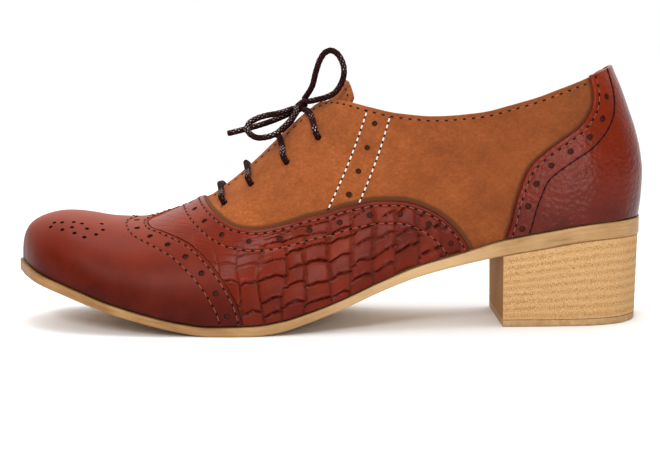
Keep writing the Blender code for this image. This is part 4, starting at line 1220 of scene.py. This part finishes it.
def makeVamp():
    gapShare = vampPanel["gap"] / shoe["soleLength"]
    columns = np.concatenate([np.linspace(-1, 0, vampPanel["outerColumns"]),
                              np.linspace(0, 1, vampPanel["innerColumns"])[1:]])
    turn, across = overlayGrid(
        np.linspace(0, 1, vampPanel["rows"]), columns,
        lambda climb: turnOf(alongOf(edgeTurn("wing", climb)) + gapShare),
        lambda climb: edgeTurn("vamp", climb))
    face = formPoint(turn, across, np.full(turn.shape, vampPanel["high"]))
    distance = edgeDistance(face, face[-1])
    lines = edgeLines(vampPanel, turn, across, distance)
    # place on the leather in millimetres: flatP along the shoe, up from the sole's edge
    gone = runLength(face)
    outer = across <= 0
    up = np.where(outer, gone, gone[:, -1:] - gone)
    flatP = face[..., 0] + np.where(outer, 0.0, 300.0)
    p, q = (start + sum(far * softNoise(flatP, up, seed, size) for far, seed, size in vampPanel[key])
            for start, key in ((flatP, "wanderLong"), (up, "wanderHigh")))
    toSeam, toCrease, creaseDepth, tone = scalePattern(p, q, 21)
    # pressed deep low down and to the rear, faint over the upper front and along the edge
    toFront = vampPanel["frontX"] - face[..., 0] + 6 * softNoise(flatP, up, 8, 20.0)
    front = ease(toFront / 14) * ease((up - vampPanel["frontUp"]) / 9)
    strength = ((1 - vampPanel["frontFade"] * front) * ease((distance - 1.5) / 1.2)
                * (1 - vampPanel["topFade"] * ease((up - vampPanel["topUp"]) / 9)))
    width = vampPanel["creaseWidth"]
    broken = np.clip(0.5 + 0.3 * softNoise(p, q, 9, 2.0), 0.1, 0.8)
    groove = np.maximum(creaseDepth * bell(toCrease, width), bell(toSeam, 0.8 * width) * broken)
    lip = np.maximum(creaseDepth * bell(toCrease - 1.25, 0.55), 0.3 * bell(toSeam - 1.1, 0.5))
    dome = ease(np.minimum(toSeam, toCrease) / 3.2)
    # height = strength (lip (1 - groove) + dome - groove), each times its own depth
    relief = strength * (-vampPanel["creaseDepth"] * groove + vampPanel["lip"] * lip * (1 - groove)
                         + vampPanel["dome"] * dome)
    high = vampPanel["high"] - roundedEdge(distance, vampPanel["edgeRound"]) + relief
    high = np.maximum(sunkSeams(vampPanel, high, distance, lines), vampPanel["low"] + 0.15)
    # crease carries the painted shade of the grooves
    piece = thickSheet("vampPanelCalf", turn, across, vampPanel["low"], high, scaled,
                       ("start", "end", "foot", "top"),
                       {"rise": 1 - np.abs(across), "crease": np.clip(strength * groove * 0.95, 0, 1),
                        "tile": tone * vampPanel["tone"] * strength}, every=4)
    holes = holesAlong(lines["holeLine"], vampPanel["holePitch"], vampPanel["holeLead"])
    punch(piece, holes, vampPanel["hole"], 0.8, punchedCalf)
    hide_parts("vamp_panel")


makeVamp()
print("vamp panel embossed")

# heel counter; each spread gives how its line's distance from the edge opens up the shoe
counterPanel = {
    "around": 120, "up": 100, "low": 0.35, "high": 1.6, "edgeRound": 0.85, "topRound": 0.4,
    "edgeSeam": 2.3, "holeLine": 5.7, "innerSeam": 9.4, "holeSpread": (1.12, 0.22),
    "seamSpread": (1.09, 0.27), "holePitch": 9.57, "holeLead": 2.9, "hole": 1.3, "overRim": 0.9,
}


def makeCounter():
    steps = np.linspace(0, 1, counterPanel["around"])
    around = np.concatenate([-steps[::-1], steps[1:]])
    up = np.concatenate([np.linspace(0, 0.97, counterPanel["up"]), [0.98, 0.988, 0.994, 1.0]])
    lap, share = np.meshgrid(around, up, indexing="ij")
    side = np.where(lap <= 0, -1.0, 1.0)
    fine = np.linspace(0.5, 1, 300)
    tops = {s: topAcross(fine, s) for s in (-1, 1)}
    # folded over the rim on the outer side and round the back seam
    folded = np.where(side < 0, 1.0, np.clip(1 - 3 * np.abs(lap), 0, 1))
    folded = folded * counterPanel["overRim"] / shoe["collarRise"]

    def acrossAt(turn):
        foot = footAcross(turn, shoe["overlayFoot"])
        top = np.where(side < 0, np.interp(turn, fine, tops[-1]), np.interp(turn, fine, tops[1]))
        return foot + (top - (1 - top) * folded - foot) * share

    turn = np.full(lap.shape, 0.9)
    for _ in range(16):
        turn = 1 - (1 - edgeTurn("counter", 1 - acrossAt(turn))) * np.abs(lap)
    across = side * acrossAt(turn)
    face = formPoint(turn, across, np.full(turn.shape, counterPanel["high"]))
    distance = edgeDistance(face, np.concatenate([face[0], face[-1]]))
    toTop = edgeDistance(face, face[:, -1])
    high = counterPanel["high"] - np.maximum(roundedEdge(distance, counterPanel["edgeRound"]),
                                             roundedEdge(toTop, counterPanel["topRound"]))
    half = len(around) // 2 + 1
    bands = {"edgeSeam": distance}
    for label, spread in (("holeLine", "holeSpread"), ("innerSeam", "seamSpread")):
        foot, rise = counterPanel[spread]
        bands[label] = distance * (foot - rise * share)
    kinds = {"edgeSeam": ("dark", "rust"), "innerSeam": ("solid", "dark")}
    holes = []
    for label, band in bands.items():
        for rows in (slice(0, half), slice(len(around) - 1, half - 2, -1)):
            spots = lineAt(turn[rows].T, across[rows].T, band[rows].T, counterPanel[label],
                           fromEnd=False)
            path = onForm(spots, counterPanel["high"])
            if label == "holeLine":
                holes.append(holesAlong(path, counterPanel["holePitch"], counterPanel["holeLead"]))
            else:
                sew(path, *kinds[label])
        if label != "holeLine":
            high = high - 0.18 * bell(band - counterPanel[label], 0.6)
    piece = thickSheet("heelCounterCalf", turn, across, counterPanel["low"], high, pebbled,
                       ("start", "end", "foot", "top"),
                       {"rise": 0.15 + 3.2 * (1 - np.abs(across))}, every=3)
    punch(piece, np.concatenate(holes), counterPanel["hole"], 1.0, punchedCalf)
    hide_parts("heel_counter")


makeCounter()
print("heel counter made")

# quarters and lining
quarters = {
    "stations": 210, "up": 64, "suede": 1.1, "edgeRound": 0.55, "liningRound": 0.35,
    "collarSeam": 1.9, "facingSeam": 5.6, "facingEnd": 0.455, "facingFade": 0.05,
    "seamAlong": (0.309, 0.985), "strapHole": 1.2, "strapPitch": 10.1, "strapLead": 5.2,
    "strapBow": 0.0042, "eyelet": 1.35, "eyeletDepth": 3.4,
}
# the strap's two stitched lines on each quarter: along and climb at the collar, then at the panel
strapLines = ((0.5695, 0.455, 0.4985, 0.319), (0.6085, 0.327, 0.5475, 0.244))


def upperGrid():
    extra = turnOf(np.array([0.300, 0.3015, 0.304, 0.308, 0.3134, 0.489]))
    turns = np.union1d(np.linspace(0, 1, quarters["stations"]), extra)
    up = np.concatenate([np.linspace(0, 0.975, quarters["up"]), [0.982, 0.988, 0.993, 0.997, 1.0]])
    turn = np.concatenate([turns, turns[-2::-1]])
    side = np.concatenate([-np.ones(len(turns)), np.ones(len(turns) - 1)])
    top = np.where(side < 0, topAcross(turn, -1), topAcross(turn, 1))
    share = 1 - up[None, :] * (1 - top[:, None])
    across = side[:, None] * share
    opened = alongOf(turn) >= shoe["throatAlong"] - 1e-9
    return np.broadcast_to(turn[:, None], across.shape), across, opened


def strapPath(row, side):
    topAlong, topClimb, footAlong, footClimb = row
    share = np.linspace(-0.03, 0.985, 60)
    bow = quarters["strapBow"] * 4 * share * (1 - share)
    along = topAlong + (footAlong - topAlong) * share - bow
    climb = topClimb + (footClimb - topClimb) * share
    return np.stack([turnOf(along), side * (1 - climb)], axis=1)


def makeUpper():
    turn, across, opened = upperGrid()
    face = formPoint(turn, across, np.zeros(turn.shape))
    distance = edgeDistance(face, face[opened, -1])
    high = -roundedEdge(distance, quarters["edgeRound"])
    # millimetres from the vamp panel or the counter, where a painted shadow darkens the suede
    climbs = np.linspace(0, 1, 900)
    away = np.full(turn.shape, 30.0)
    for name, nearer in (("vamp", 0.0), ("counter", 0.9)):
        for side in (-1, 1):
            edge = formPoint(edgeTurn(name, climbs), side * (1 - climbs), 0 * climbs)
            near = edgeDistance(face, edge) + nearer
            away = np.where(np.sign(across) == side, np.minimum(away, near), away)
    mask = opened[:-1] & opened[1:]
    piece = thickSheet("quartersSuede", turn, across, -quarters["suede"], high, suede,
                       ("foot", "top"), {"away": away}, rimMask=mask)
    high = -quarters["suede"] - roundedEdge(distance, quarters["liningRound"])
    inner = thickSheet("quartersLining", turn, across, -shoe["wall"], high, lining,
                       ("foot", "top"), {}, rimMask=mask)
    # the seam lies further in along the facing than along the collar
    onFacing = 1 - ease((alongOf(turn) - quarters["facingEnd"]) / quarters["facingFade"])
    inset = quarters["collarSeam"] + (quarters["facingSeam"] - quarters["collarSeam"]) * onFacing
    spots = lineAt(turn, across, distance / inset, 1.0)
    along = alongOf(spots[:, 0])
    start, end = quarters["seamAlong"]
    counterEdge = np.interp(1 - np.abs(spots[:, 1]), last["counter"]["climb"], last["counter"]["along"])
    keep = (along > start) & (along < end) & (along < counterEdge - 0.003)
    for side in (-1, 1):
        sew(onForm(spots[keep & (spots[:, 1] * side > 0)], 0.0), "dark", "rust")
    holes = []
    for side in (-1, 1):
        ends = [strapPath(row, side) for row in strapLines]
        for line in ends:
            sew(onForm(line, 0.0), "pale")
        middle = onForm((ends[0] + ends[1]) / 2, 0.0)
        holes.append(holesAlong(middle, quarters["strapPitch"], quarters["strapLead"]))
    punch(piece, np.concatenate(holes), quarters["strapHole"], 0.8, punchedSuede)
    eyelets = np.array([(turnOf(along), side * (1 - climb))
                        for along, climb, _ in tableRows["eyelets"] for side in (-1, 1)])
    for sheet in (piece, inner):
        punch(sheet, onForm(eyelets, 0.0), quarters["eyelet"], quarters["eyeletDepth"], punchedSuede)
    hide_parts("upper")


makeUpper()
print("quarters and lining made")

# tongue
tonguePad = {"rows": 90, "columns": 60, "outside": 3.0, "thickness": 2.0, "edgeRound": 0.8,
             "seam": 1.6, "seamAcross": 0.33, "seamAlong": 0.5}


def makeTongue():
    down = np.linspace(0, 1, tonguePad["rows"])[:, None] + np.zeros((1, tonguePad["columns"]))
    share = np.linspace(-1, 1, tonguePad["columns"])[None, :] + 0 * down
    side = last["tongueSide"]
    front = turnOf(side["along"][0])

    def acrossAt(turn):
        return share * (1 - smoothRead(side["along"], side["climb"], alongOf(turn)))

    turn = np.full(down.shape, 0.45)
    for _ in range(14):
        turn = front + (edgeTurn("tongueTop", 1 - np.abs(acrossAt(turn))) - front) * down
    across = acrossAt(turn)
    outside = -tonguePad["outside"]
    face = formPoint(turn, across, np.full(turn.shape, outside))
    distance = edgeDistance(face, np.concatenate([face[-1], face[:, 0], face[:, -1]]))
    high = outside - roundedEdge(distance, tonguePad["edgeRound"])
    piece = thickSheet("tongueSuede", turn, across, outside - tonguePad["thickness"], high, suede,
                       ("start", "end", "foot", "top"), {"away": 0 * turn + 30.0})
    spots = lineAt(turn.T, across.T, distance.T, tonguePad["seam"])
    seen = ((np.abs(spots[:, 1]) < tonguePad["seamAcross"])
            & (alongOf(spots[:, 0]) > tonguePad["seamAlong"]))
    sew(onForm(spots[seen], outside), "dark", "rust")
    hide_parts("tongue")


makeTongue()
print("tongue made")

# thread
darkRows = stitchRows("stitchesDark", seams["dark"], threadDark, stitch["length"],
                      stitch["pitch"], stitch["width"])
rustLine = threadLine("seamThread", seams["rust"], threadRust, stitch["lineRadius"], 0.02)
solidLine = threadLine("counterThread", seams["solid"], threadDark, stitch["solidRadius"], 0.0)
paleRows = stitchRows("stitchesPale", seams["pale"], threadPale, stitch["paleLength"],
                      stitch["palePitch"], stitch["paleWidth"])
paleGround = threadLine("strapThread", seams["pale"], threadDark, stitch["strapRadius"], 0.1)
print("seams sewn")
